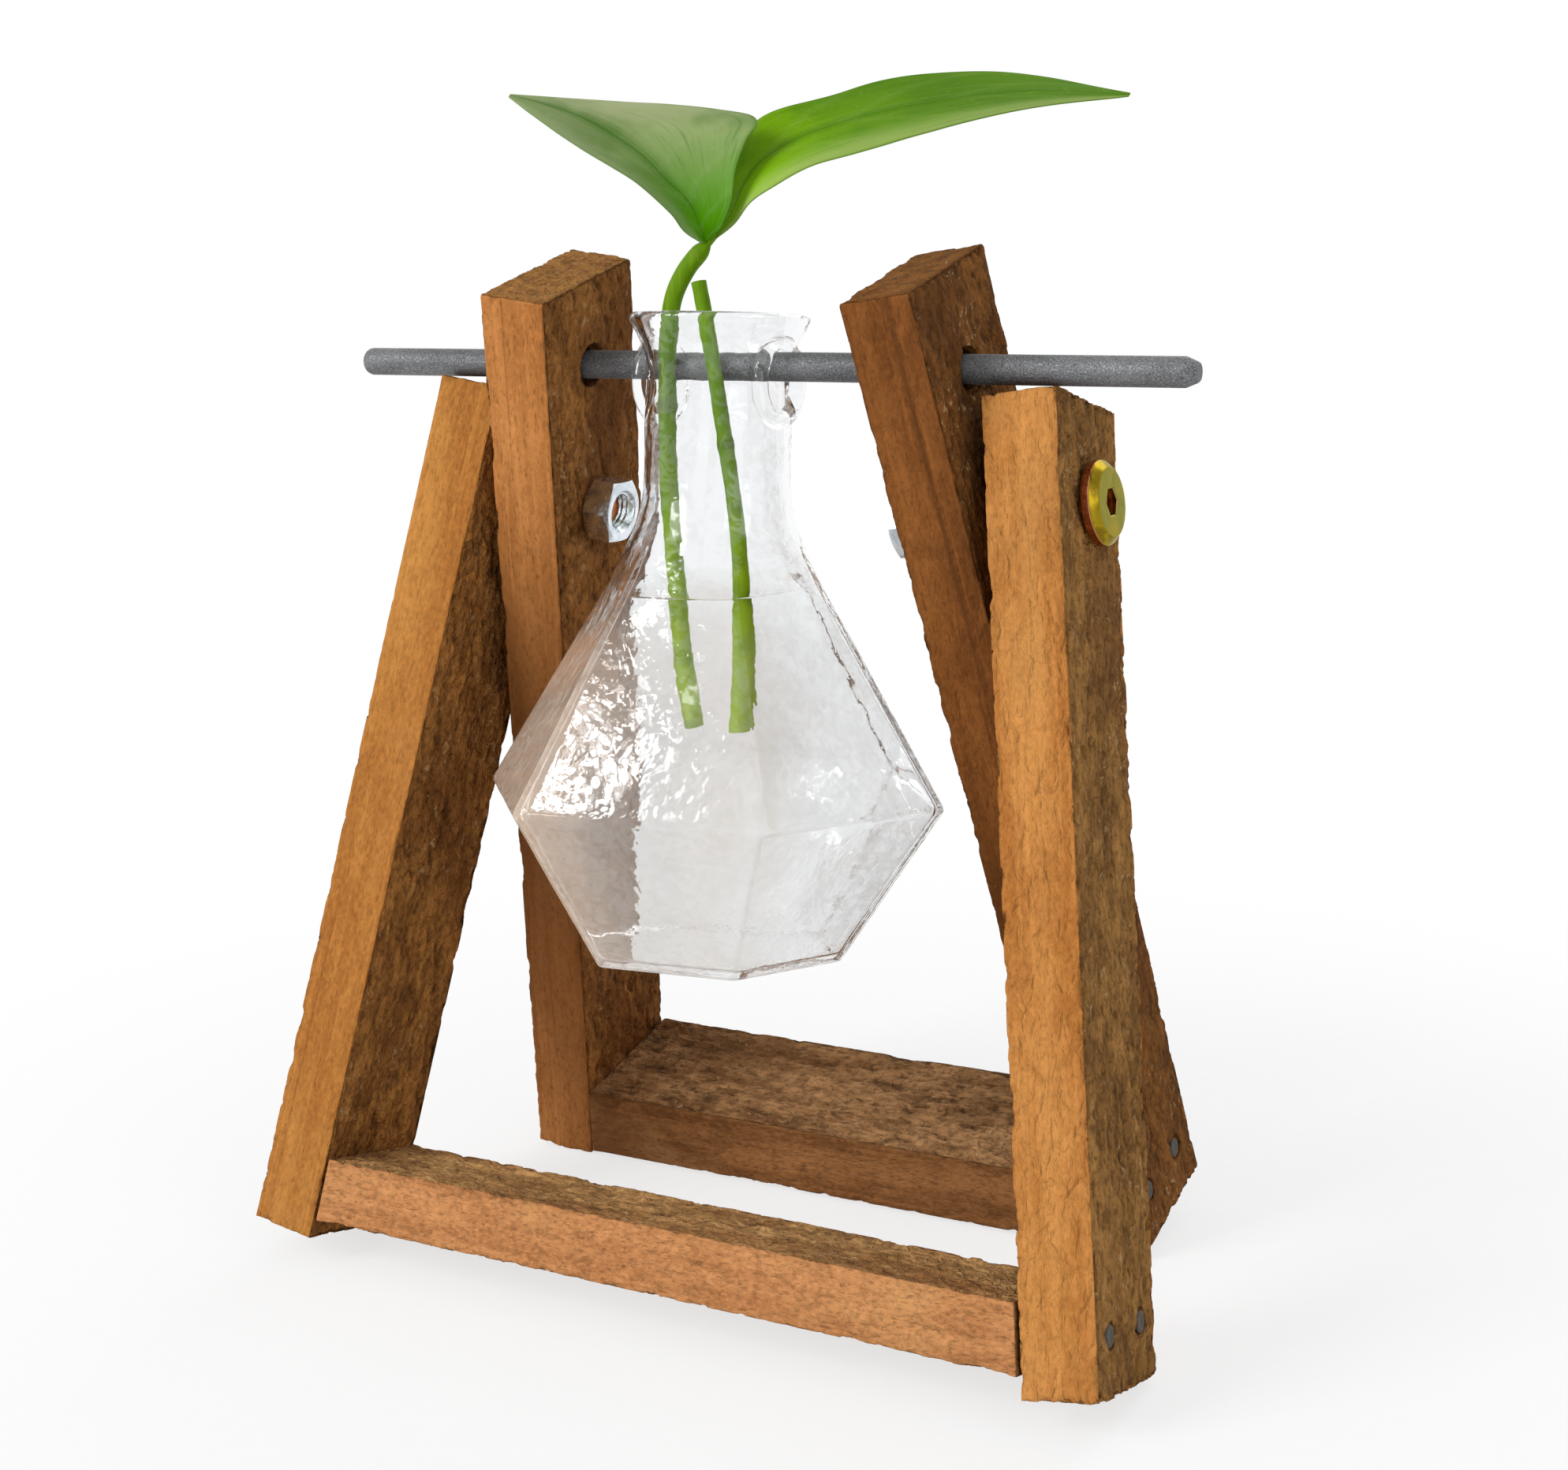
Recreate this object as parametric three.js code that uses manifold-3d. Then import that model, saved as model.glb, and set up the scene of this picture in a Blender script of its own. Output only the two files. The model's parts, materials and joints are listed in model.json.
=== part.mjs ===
import * as THREE from 'three';
import { mergeVertices } from 'three/addons/utils/BufferGeometryUtils.js';
import Module from 'manifold-3d';

// Glass vase for growing cuttings in water, hung on a rod between two hinged wooden frames.
// Lengths are in millimetres and angles in degrees. +X runs along the rod and +Z is up.

// Wooden stock.
const legThickness = 16.2;
const tallLegWidth = 36;
const shortLegWidth = 32.5;
const rearBarThickness = 18;
const frontBarThickness = 14.5;

// The two frames. Their legs' middle lines cross a little above the pivot bolts.
const pivotHeight = 171.8;
const boltDrop = 5.5;
const tallPivotSpan = 95.4;
const legGap = 2.9;
const tallLean = 13.3;
const shortLean = 14.7;
const tallSplay = 8;
const shortSplay = 8.5;
const tallTopLength = 44;
const rearBarLift = 0.5;
const frontBarLift = 2.5;
const footWear = 1.5;

// Hanger rod.
const rodDiameter = 6;
const rodLength = 195.5;
const rodOffset = 1.2;
const rodAbovePivot = 24;
const rodHoleDiameter = 8.8;
const rodRoundLength = 1.8;
const rodBevelLength = 2.6;
const rodBevelDepth = 1.1;

// Pivot bolts and nuts.
const boltDiameter = 8;
const boltThreadDiameter = 6.7;
const threadChamfer = 0.6;
const boltHeadDiameter = 17;
const boltHeadHeight = 3.4;
const boltHeadChamfer = 1.3;
const socketAcrossFlats = 5;
const socketDepth = 2.4;
const nutAcrossFlats = 13;
const nutThickness = 6.5;
const nutChamfer = 0.9;
const nutFaceDiameter = 12.4;
const nutCountersink = 1;
const boltEngagement = 3.6;
const pivotHoleDiameter = 10;

// Crossbar nails.
const nailDiameter = 2;
const nailHeadDiameter = 4.4;
const nailHeadHeight = 0.9;
const nailLength = 38;
const nailTipLength = 3;
const nailSink = 0.4;
const nailSpacing = 17;

// Glass vase. Heights are measured from the rod's axis along the vase's own axis.
const lipRadius = 19.1;
const neckRadius = 15.4;
const girdleRadius = 51.6;
const baseRadius = 30.6;
const lipHeight = 10.7;
const flareLength = 12;
const shoulderDrop = 31;
const shoulderBlend = 7;
const girdleDrop = 90;
const baseDrop = 124;
const glassWall = 2.4;
const glassFloor = 3;
const edgeRound = 1.6;
const eyeDiameter = 12.6;
const eyeRimThickness = 3.6;
const hexagonTwist = 9.9;
const vaseOffset = -5.2;

// Plant cutting.
const leftStemDiameter = 3.8;
const rightStemDiameter = 3.2;
const leftStemRise = 24;
const rightStemRise = 17;
const stemDepth = 76;
const leftLeafLength = 48.6;
const rightLeafLength = 92;
const leafThickness = 0.9;

// Clearances between neighbouring pieces.
const seatGap = 0.3;
const boreGap = 0.3;

const rad = THREE.MathUtils.degToRad;
const rodRadius = rodDiameter / 2;
const wasm = await Module();
wasm.setup();

// Closed body of a geometry, with shared corners joined.
function solidOf(geometry) {
  const bare = geometry.clone();
  bare.deleteAttribute('normal');
  bare.deleteAttribute('uv');
  const merged = mergeVertices(bare, 1e-4);
  const corners = merged.index.array;
  const triangles = [];
  for (let i = 0; i < corners.length; i += 3) {
    const [a, b, c] = [corners[i], corners[i + 1], corners[i + 2]];
    if (a !== b && b !== c && c !== a) triangles.push(a, b, c);
  }
  return new wasm.Manifold(new wasm.Mesh({
    numProp: 3,
    vertProperties: new Float32Array(merged.attributes.position.array),
    triVerts: new Uint32Array(triangles),
  }));
}

function geometryOf(solid) {
  const mesh = solid.getMesh();
  const geometry = new THREE.BufferGeometry();
  geometry.setAttribute('position', new THREE.BufferAttribute(mesh.vertProperties, 3));
  geometry.setIndex(new THREE.BufferAttribute(mesh.triVerts, 1));
  geometry.computeVertexNormals();
  return geometry;
}

// Takes tools, given in the stand's coordinates, out of a placed piece.
function cut(piece, tools) {
  piece.updateWorldMatrix(true, false);
  const toPiece = piece.matrixWorld.clone().invert();
  let solid = solidOf(piece.geometry);
  for (const tool of tools) {
    solid = solid.subtract(solidOf(tool.clone().applyMatrix4(toPiece)));
  }
  piece.geometry = geometryOf(solid);
}

// Body turned about Z from [radius, height] points that start and end on the axis.
function turned(points, segments) {
  const profile = points.map(([radius, height]) => new THREE.Vector2(radius, height));
  return new THREE.LatheGeometry(profile, segments).rotateX(Math.PI / 2);
}

// Round bar about Z between two heights.
function bar(radius, low, high, segments) {
  return turned([[0, low], [radius, low], [radius, high], [0, high]], segments);
}

function hexagonPrism(acrossFlats, low, high) {
  const prism = new THREE.CylinderGeometry(
    acrossFlats / Math.sqrt(3), acrossFlats / Math.sqrt(3), high - low, 6);
  return prism.rotateX(Math.PI / 2).translate(0, 0, (low + high) / 2);
}

function piece(name, geometry, look, parent) {
  const mesh = new THREE.Mesh(geometry, new THREE.MeshStandardMaterial(look));
  mesh.name = name;
  parent.add(mesh);
  return mesh;
}

const wood = { color: 0xa8672f, roughness: 0.85, metalness: 0 };
const darkWood = { color: 0x7a4826, roughness: 0.9, metalness: 0 };
const gunmetal = { color: 0x55585c, roughness: 0.5, metalness: 0.9 };
const yellowZinc = { color: 0xb59a3c, roughness: 0.3, metalness: 1 };
const whiteZinc = { color: 0xc9d3dc, roughness: 0.25, metalness: 1 };
const steel = { color: 0x3c3a38, roughness: 0.6, metalness: 0.8 };
const glass = { color: 0xeef4f4, roughness: 0.03, metalness: 0, transparent: true, opacity: 0.35 };
const stemGreen = { color: 0x6f9a2c, roughness: 0.5, metalness: 0 };
const leafGreen = { color: 0x4f8f1f, roughness: 0.4, metalness: 0 };

const stand = new THREE.Group();

// Two frames that turn about the pivot line.
function leaningFrame(lean) {
  const frame = new THREE.Group();
  frame.position.z = pivotHeight;
  frame.rotation.x = rad(lean);
  stand.add(frame);
  return frame;
}
const tallFrame = leaningFrame(tallLean);
const shortFrame = leaningFrame(-shortLean);

// Half of a leg's thickness as it crosses the pivot line.
const tallFaceHalf = legThickness / 2 / Math.cos(rad(tallSplay));
const shortFaceHalf = legThickness / 2 / Math.cos(rad(shortSplay));
const tallHalfSpan = tallPivotSpan / 2;
const shortHalfSpan = tallHalfSpan + tallFaceHalf + legGap + shortFaceHalf;

// The rod lies on the short legs' top ends, which stops the frames from opening further.
const rodY = -rodAbovePivot * Math.sin(rad(tallLean));
const rodZ = pivotHeight + rodAbovePivot * Math.cos(rad(tallLean));
const rodOverShort = rodAbovePivot * Math.cos(rad(tallLean + shortLean)) - rodRadius - seatGap;
const shortTopLength = (rodOverShort - legThickness / 2 * Math.sin(rad(shortSplay)))
  / Math.cos(rad(shortSplay));

// A leg's length under the pivot takes its lowest corner just through the floor.
function lengthToFloor(lean, splay, width) {
  const reach = (pivotHeight + footWear - width / 2 * Math.sin(rad(lean))) / Math.cos(rad(lean));
  return reach / Math.cos(rad(splay)) - legThickness / 2 * Math.tan(rad(splay));
}

function leg(name, frame, side, halfSpan, width, splay, above, below) {
  const stock = new THREE.BoxGeometry(legThickness, width, above + below);
  stock.translate(0, 0, (above - below) / 2);
  const mesh = piece(name, stock, wood, frame);
  mesh.position.x = side * halfSpan;
  mesh.rotation.y = -side * rad(splay);
  mesh.updateWorldMatrix(true, false);
  return mesh;
}

const sides = [
  { word: 'left', sign: -1 },
  { word: 'right', sign: 1 },
];
const tallBelow = lengthToFloor(tallLean, tallSplay, tallLegWidth);
const shortBelow = lengthToFloor(shortLean, shortSplay, shortLegWidth);
for (const side of sides) {
  side.tall = leg(`tall_${side.word}_leg`, tallFrame, side.sign, tallHalfSpan,
    tallLegWidth, tallSplay, tallTopLength, tallBelow);
  side.short = leg(`short_${side.word}_leg`, shortFrame, side.sign, shortHalfSpan,
    shortLegWidth, shortSplay, shortTopLength, shortBelow);
}

// Square-ended crossbars: each touches the splayed legs at its upper corners.
function crossbar(name, frame, lean, splay, halfSpan, faceHalf, width, thickness, lift) {
  const bottom = -(pivotHeight - lift - width / 2 * Math.sin(rad(lean))) / Math.cos(rad(lean));
  const top = bottom + thickness;
  const halfLength = halfSpan - faceHalf - top * Math.tan(rad(splay)) - seatGap;
  const stock = new THREE.BoxGeometry(2 * halfLength, width, thickness);
  const mesh = piece(name, stock, darkWood, frame);
  mesh.position.z = (bottom + top) / 2;
  mesh.updateWorldMatrix(true, false);
  return { mesh, halfLength };
}
const rearBar = crossbar('rear_crossbar', tallFrame, tallLean, tallSplay, tallHalfSpan,
  tallFaceHalf, tallLegWidth, rearBarThickness, rearBarLift);
const frontBar = crossbar('front_crossbar', shortFrame, shortLean, shortSplay, shortHalfSpan,
  shortFaceHalf, shortLegWidth, frontBarThickness, frontBarLift);

// Hanger rod: rounded at its left end and bevelled at its right end.
const rodTip = [0, 0.5, 0.8, 1].map((share) => [
  rodRadius - rodRoundLength + rodRoundLength * share,
  -rodLength / 2 + rodRoundLength * (1 - Math.sqrt(1 - share * share)),
]);
const rodProfile = [
  [0, -rodLength / 2],
  ...rodTip,
  [rodRadius, rodLength / 2 - rodBevelLength],
  [rodRadius - rodBevelDepth, rodLength / 2],
  [0, rodLength / 2],
];
const hangerRod = piece('hanger_rod', turned(rodProfile, 24), gunmetal, stand);
hangerRod.position.set(rodOffset, rodY, rodZ);
hangerRod.rotation.y = Math.PI / 2;
hangerRod.updateWorldMatrix(true, false);
const rodHole = bar(rodHoleDiameter / 2, -rodLength, rodLength, 24)
  .applyMatrix4(hangerRod.matrixWorld);

// Pivot bolt and nut of one side, square to the mean of the two legs' faces.
function pivot(side) {
  const outShort = new THREE.Vector3(side.sign, 0, 0).transformDirection(side.short.matrixWorld);
  const outTall = new THREE.Vector3(side.sign, 0, 0).transformDirection(side.tall.matrixWorld);
  const axis = outShort.clone().add(outTall).normalize();
  const centre = new THREE.Vector3(
    side.sign * (tallHalfSpan + tallFaceHalf + legGap / 2 + boltDrop * Math.tan(rad(tallSplay))),
    0,
    pivotHeight - boltDrop,
  );
  const seat = (faceX, normal, radius) => {
    const face = new THREE.Vector3(side.sign * faceX, 0, pivotHeight).sub(centre);
    const rise = radius * Math.tan(axis.angleTo(normal));
    return Math.abs(face.dot(normal) / axis.dot(normal)) + rise + seatGap;
  };
  const headSeat = seat(shortHalfSpan + shortFaceHalf, outShort, boltHeadDiameter / 2);
  const nutSeat = seat(tallHalfSpan - tallFaceHalf, outTall, nutAcrossFlats / Math.sqrt(3));

  const place = new THREE.Group();
  place.position.copy(centre);
  place.quaternion.setFromUnitVectors(new THREE.Vector3(0, 0, 1), axis);
  stand.add(place);
  place.updateWorldMatrix(true, false);

  const tip = nutSeat + boltEngagement;
  const headTop = headSeat + boltHeadHeight;
  const boltBody = turned([
    [0, -tip],
    [boltThreadDiameter / 2 - threadChamfer, -tip],
    [boltThreadDiameter / 2, -tip + threadChamfer],
    [boltThreadDiameter / 2, -nutSeat + seatGap],
    [boltDiameter / 2, -nutSeat + 2 * seatGap],
    [boltDiameter / 2, headSeat],
    [boltHeadDiameter / 2, headSeat],
    [boltHeadDiameter / 2, headTop - boltHeadChamfer],
    [boltHeadDiameter / 2 - boltHeadChamfer, headTop],
    [0, headTop],
  ], 32);
  const bolt = piece(`${side.word}_pivot_bolt`, boltBody, yellowZinc, place);
  const socket = hexagonPrism(socketAcrossFlats, headTop - socketDepth, headTop + 1);
  cut(bolt, [socket.applyMatrix4(place.matrixWorld)]);

  const nutTop = -nutSeat;
  const nutBottom = nutTop - nutThickness;
  const nutCorner = nutAcrossFlats / Math.sqrt(3);
  const nutEnvelope = turned([
    [0, nutBottom],
    [nutFaceDiameter / 2, nutBottom],
    [nutCorner, nutBottom + nutChamfer],
    [nutCorner, nutTop - nutChamfer],
    [nutFaceDiameter / 2, nutTop],
    [0, nutTop],
  ], 36);
  const nutBore = turned([
    [0, nutBottom - 1],
    [boltThreadDiameter / 2 + boreGap + nutCountersink + 1, nutBottom - 1],
    [boltThreadDiameter / 2 + boreGap, nutBottom + nutCountersink],
    [boltThreadDiameter / 2 + boreGap, nutTop + 1],
    [0, nutTop + 1],
  ], 32);
  const nutBody = solidOf(hexagonPrism(nutAcrossFlats, nutBottom, nutTop))
    .intersect(solidOf(nutEnvelope))
    .subtract(solidOf(nutBore));
  piece(`${side.word}_pivot_nut`, geometryOf(nutBody), whiteZinc, place);

  const reach = 2 * (headSeat + nutSeat);
  return {
    tallHole: bar(boltDiameter / 2 + boreGap, -reach, reach, 24).applyMatrix4(place.matrixWorld),
    shortHole: bar(pivotHoleDiameter / 2, -reach, reach, 24).applyMatrix4(place.matrixWorld),
  };
}

// Nails driven square through a leg into the end of its crossbar.
function nails(side, word, legMesh, crossbarPiece) {
  const holes = [];
  const out = new THREE.Vector3(side.sign, 0, 0).transformDirection(legMesh.matrixWorld);
  for (const [end, offset] of [['front', -nailSpacing / 2], ['back', nailSpacing / 2]]) {
    const target = new THREE.Vector3(side.sign * crossbarPiece.halfLength, offset, 0)
      .applyMatrix4(crossbarPiece.mesh.matrixWorld);
    const inLeg = legMesh.worldToLocal(target.clone());
    const headTop = legThickness / 2 - side.sign * inLeg.x - nailSink;
    const place = new THREE.Group();
    place.position.copy(target);
    place.quaternion.setFromUnitVectors(new THREE.Vector3(0, 0, 1), out);
    stand.add(place);
    place.updateWorldMatrix(true, false);

    const tip = headTop - nailLength;
    const shaft = nailDiameter / 2;
    const head = nailHeadDiameter / 2;
    const body = turned([
      [0, tip],
      [shaft, tip + nailTipLength],
      [shaft, headTop - nailHeadHeight],
      [head, headTop - nailHeadHeight],
      [head, headTop],
      [0, headTop],
    ], 12);
    piece(`${word}_${side.word}_${end}_nail`, body, steel, place);
    const hole = turned([
      [0, tip - boreGap],
      [shaft + boreGap, tip - boreGap],
      [shaft + boreGap, headTop - nailHeadHeight - boreGap],
      [head + boreGap, headTop - nailHeadHeight - boreGap],
      [head + boreGap, headTop + legThickness],
      [0, headTop + legThickness],
    ], 12);
    holes.push(hole.applyMatrix4(place.matrixWorld));
  }
  return holes;
}

const floorSize = 4 * pivotHeight;
const underFloor = new THREE.BoxGeometry(floorSize, floorSize, pivotHeight)
  .translate(0, 0, -pivotHeight / 2);
const rearNailHoles = [];
const frontNailHoles = [];
for (const side of sides) {
  const { tallHole, shortHole } = pivot(side);
  const rearHoles = nails(side, 'rear', side.tall, rearBar);
  const frontHoles = nails(side, 'front', side.short, frontBar);
  cut(side.tall, [underFloor, tallHole, rodHole, ...rearHoles]);
  cut(side.short, [underFloor, shortHole, ...frontHoles]);
  rearNailHoles.push(...rearHoles);
  frontNailHoles.push(...frontHoles);
}
cut(rearBar.mesh, rearNailHoles);
cut(frontBar.mesh, frontNailHoles);

// The vase hangs from the rod by its two eyes.
const hanging = new THREE.Group();
hanging.position.set(vaseOffset, rodY, rodZ);
stand.add(hanging);

// Outer outline from the foot up to the lip, and the inner one back down.
const outerProfile = [
  [baseRadius - edgeRound, -baseDrop],
  [baseRadius, -baseDrop + edgeRound],
  [girdleRadius - edgeRound / 2, -girdleDrop - edgeRound],
  [girdleRadius, -girdleDrop],
  [girdleRadius - edgeRound / 2, -girdleDrop + edgeRound],
  [neckRadius + 2.2 * shoulderBlend, -shoulderDrop - 3.6 * shoulderBlend],
  [neckRadius + 0.75 * shoulderBlend, -shoulderDrop - 1.3 * shoulderBlend],
  [neckRadius + 0.2 * shoulderBlend, -shoulderDrop - 0.2 * shoulderBlend],
  [neckRadius, -shoulderDrop + shoulderBlend],
  [neckRadius, lipHeight - flareLength],
  [neckRadius + 0.3 * (lipRadius - neckRadius), lipHeight - 0.5 * flareLength],
  [lipRadius, lipHeight - 0.4 * glassWall],
];
const innerProfile = outerProfile.slice(1).map(([radius, height], index) => {
  const before = outerProfile[index];
  const after = outerProfile[Math.min(index + 2, outerProfile.length - 1)];
  const along = new THREE.Vector2(after[0] - before[0], after[1] - before[1]).normalize();
  return [radius - glassWall * along.y, height + glassWall * along.x];
});
innerProfile[0][1] = -baseDrop + glassFloor;
const lipCrown = [
  [lipRadius - 0.15 * glassWall, lipHeight - 0.1 * glassWall],
  [lipRadius - 0.5 * glassWall, lipHeight],
];
const vaseProfile = [
  [0, -baseDrop],
  ...outerProfile,
  ...lipCrown,
  ...innerProfile.reverse(),
  [0, -baseDrop + glassFloor],
];
const vaseShell = turned(vaseProfile, 36);

// Corner radius of the body at a height, and the free distance from a point to its six sides.
function bodyRadius(height) {
  for (let i = 1; i < outerProfile.length; i += 1) {
    const [below, above] = [outerProfile[i - 1], outerProfile[i]];
    if (height >= below[1] && height <= above[1]) {
      return THREE.MathUtils.mapLinear(height, below[1], above[1], below[0], above[0]);
    }
  }
  return 0;
}
function freeDistance(point) {
  const flat = bodyRadius(point.z) * Math.cos(Math.PI / 6);
  const outward = [0, 1, 2, 3, 4, 5].map((k) => {
    const turn = rad(hexagonTwist + 30 + 60 * k);
    return point.x * Math.cos(turn) + point.y * Math.sin(turn) - flat;
  });
  return Math.max(...outward);
}

// The wide body leans against the tall legs' inner front edges, which tilts it forward.
function legClearance(tilt) {
  hanging.rotation.x = -tilt;
  hanging.updateWorldMatrix(true, false);
  let least = Infinity;
  for (const side of sides) {
    for (let share = 0; share <= 1; share += 0.01) {
      const height = THREE.MathUtils.lerp(-tallBelow, tallTopLength, share);
      const edge = new THREE.Vector3(-side.sign * legThickness / 2, -tallLegWidth / 2, height);
      const point = hanging.worldToLocal(side.tall.localToWorld(edge));
      if (bodyRadius(point.z) > 0) least = Math.min(least, freeDistance(point));
    }
  }
  return least;
}
let tiltLow = 0;
let tiltHigh = Math.PI / 4;
for (let step = 0; step < 30; step += 1) {
  const tilt = (tiltLow + tiltHigh) / 2;
  if (legClearance(tilt) < seatGap) tiltLow = tilt;
  else tiltHigh = tilt;
}
hanging.rotation.x = -tiltHigh;
hanging.updateWorldMatrix(true, false);

// Below the shoulder the round section turns into a hexagon with a corner on +X before the twist.
const shellPoints = vaseShell.attributes.position;
for (let i = 0; i < shellPoints.count; i += 1) {
  const point = new THREE.Vector3().fromBufferAttribute(shellPoints, i);
  const turn = Math.atan2(point.y, point.x);
  const fromFlat = THREE.MathUtils.euclideanModulo(turn, Math.PI / 3) - Math.PI / 6;
  const flatShare = Math.cos(Math.PI / 6) / Math.cos(fromFlat);
  const six = THREE.MathUtils.smoothstep(-point.z, shoulderDrop, shoulderDrop + 3.6 * shoulderBlend);
  const scale = 1 + six * (flatShare - 1);
  shellPoints.setXYZ(i, point.x * scale, point.y * scale, point.z);
}
vaseShell.rotateZ(rad(hexagonTwist));

// Two eyes in the neck, on the rod's line, with thick rims.
const eyeDrop = eyeDiameter / 2 - rodRadius - seatGap;
const rimRadius = (eyeDiameter + eyeRimThickness) / 2;
let vaseSolid = solidOf(vaseShell);
for (const side of sides) {
  const rim = new THREE.TorusGeometry(rimRadius, eyeRimThickness / 2, 10, 28)
    .rotateY(Math.PI / 2)
    .translate(side.sign * (neckRadius - glassWall / 2), 0, -eyeDrop);
  vaseSolid = vaseSolid.add(solidOf(rim));
}
const eyeHole = bar(eyeDiameter / 2, -2 * neckRadius, 2 * neckRadius, 32)
  .rotateY(Math.PI / 2)
  .translate(0, 0, -eyeDrop);
vaseSolid = vaseSolid.subtract(solidOf(eyeHole));
const mouthBore = bar(neckRadius - glassWall, -shoulderDrop, lipHeight - flareLength, 48);
vaseSolid = vaseSolid.subtract(solidOf(mouthBore));
piece('glass_vase', geometryOf(vaseSolid), glass, hanging);

// Stems stand in the water in front of the rod and lean on it and on the neck.
function stem(name, diameter, points) {
  const section = new THREE.Shape().absarc(0, 0, diameter / 2, 0, 2 * Math.PI);
  const path = new THREE.CatmullRomCurve3(points);
  const tube = new THREE.ExtrudeGeometry(section, {
    steps: 30,
    curveSegments: 5,
    bevelEnabled: false,
    extrudePath: path,
  });
  piece(name, tube, stemGreen, hanging);
  return path;
}

// Points of a stem: sideways as a share of its room in the neck, up or down as a share of its length.
function stemPlace(diameter, rise) {
  const front = -(rodRadius + seatGap + diameter / 2);
  const room = neckRadius - glassWall - seatGap - diameter / 2;
  const reach = Math.sqrt(room * room - front * front);
  return (aside, level) => new THREE.Vector3(
    aside * reach, front, level * (level > 0 ? rise : stemDepth));
}
const atLeft = stemPlace(leftStemDiameter, leftStemRise);
const atRight = stemPlace(rightStemDiameter, rightStemRise);
const leftPath = stem('left_stem', leftStemDiameter, [
  atLeft(-0.1, 1),
  atLeft(-0.55, 0.81),
  atLeft(-0.86, 0.58),
  atLeft(-0.98, 0.25),
  atLeft(-0.99, -0.08),
  atLeft(-0.96, -0.24),
  atLeft(-0.84, -0.42),
  atLeft(-0.66, -0.6),
  atLeft(-0.4, -0.82),
  atLeft(-0.1, -1),
]);
stem('right_stem', rightStemDiameter, [
  atRight(-0.24, 1),
  atRight(0, 0.41),
  atRight(0.24, -0.06),
  atRight(0.48, -0.22),
  atRight(0.74, -0.41),
  atRight(0.9, -0.59),
  atRight(0.96, -0.79),
  atRight(0.95, -1),
]);

// Both leaves sit on the left stem's end.
const leafSeat = leftPath.getPoint(0)
  .addScaledVector(leftPath.getTangent(0), -seatGap - leafThickness / 2);

// Leaf blade between its near margin, midrib and far margin. Their points run from base to tip,
// in hundredths of the leaf's length.
function leaf(name, length, near, middle, far) {
  const place = (points) => new THREE.CatmullRomCurve3(
    points.map((point) => new THREE.Vector3(...point).multiplyScalar(length / 100).add(leafSeat)));
  const curves = { near: place(near), middle: place(middle), far: place(far) };
  const across = curves.far.getPoint(0.5).sub(curves.near.getPoint(0.5));
  const along = curves.middle.getPoint(1).sub(curves.middle.getPoint(0));
  const face = across.cross(along).normalize().multiplyScalar(leafThickness);
  const blade = new THREE.BoxGeometry(2, 1, 1, 8, 16, 1);
  const points = blade.attributes.position;
  for (let i = 0; i < points.count; i += 1) {
    const [share, run, level] = [points.getX(i), points.getY(i) + 0.5, points.getZ(i)];
    const margin = share < 0 ? curves.near : curves.far;
    const spot = curves.middle.getPoint(run).lerp(margin.getPoint(run), Math.abs(share));
    spot.addScaledVector(face, level);
    points.setXYZ(i, spot.x, spot.y, spot.z);
  }
  return piece(name, blade, leafGreen, hanging);
}
leaf(
  'left_leaf',
  leftLeafLength,
  [
    [0, -3.7, 0], [-3.8, -11.9, 4.3], [-5.5, -20.2, 11.2],
    [-13.6, -31.5, 21.6], [-22.7, -39.7, 28.7], [-35.5, -43.8, 36.6],
    [-48.4, -44.9, 44.2], [-61.6, -44, 52], [-72.5, -41.6, 58.5],
  ],
  [
    [0.2, -2.3, 0.2], [-1.2, -6.2, 9.2], [-5, -7.8, 16.9],
    [-13.5, -11.1, 25.3], [-22.4, -15.2, 34.8], [-33.1, -20.6, 43],
    [-44.3, -27.6, 50], [-57.5, -35, 55.1], [-72.7, -40.7, 59.1],
  ],
  [
    [0.4, -1, 0.4], [8.9, -3.7, 6.7], [13.8, -4.1, 16.9],
    [14.9, -2.5, 30.5], [17.9, 0.4, 42.2], [20.2, 5.3, 50.7],
    [-4.9, 12.3, 57.2], [-40.7, 0.4, 59.8], [-72.9, -39.9, 59.7],
  ],
);
leaf(
  'right_leaf',
  rightLeafLength,
  [
    [0, 0.5, 0], [6.6, 0.5, 4.3], [10.9, 0.3, 9],
    [17, -0.2, 12.4], [27.4, -0.4, 16.7], [40, 3.5, 20.5],
    [52.6, 13.3, 25.1], [66.2, 27.4, 30.3], [81.6, 43.7, 33.9],
  ],
  [
    [0.1, 1.2, 0.1], [5.6, 2, 7.2], [7.1, 3.7, 12.5],
    [9.6, 6.5, 17.8], [15.8, 11.7, 23.3], [27.2, 18.2, 28.2],
    [40.7, 25.8, 31.9], [59.4, 35.5, 34.9], [81.6, 44.1, 34.3],
  ],
  [
    [0.2, 2, 0.2], [3, 3.7, 7.7], [1.2, 7.8, 16.8],
    [1.1, 12.2, 23.8], [3.6, 17.6, 29.3], [13.9, 26.3, 34.1],
    [26.5, 36.1, 38.9], [50.8, 44.8, 40.5], [81.6, 44.6, 34.7],
  ],
);

// The origin is on the floor under the middle of the whole.
const bounds = new THREE.Box3().setFromObject(stand, true);
const middle = bounds.getCenter(new THREE.Vector3());
stand.position.set(-middle.x, -middle.y, -bounds.min.z);
stand.updateMatrixWorld(true);

export default stand;
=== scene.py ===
import json
import math

import bmesh
import bpy
import numpy as np
from mathutils import Matrix, Vector, noise


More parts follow.
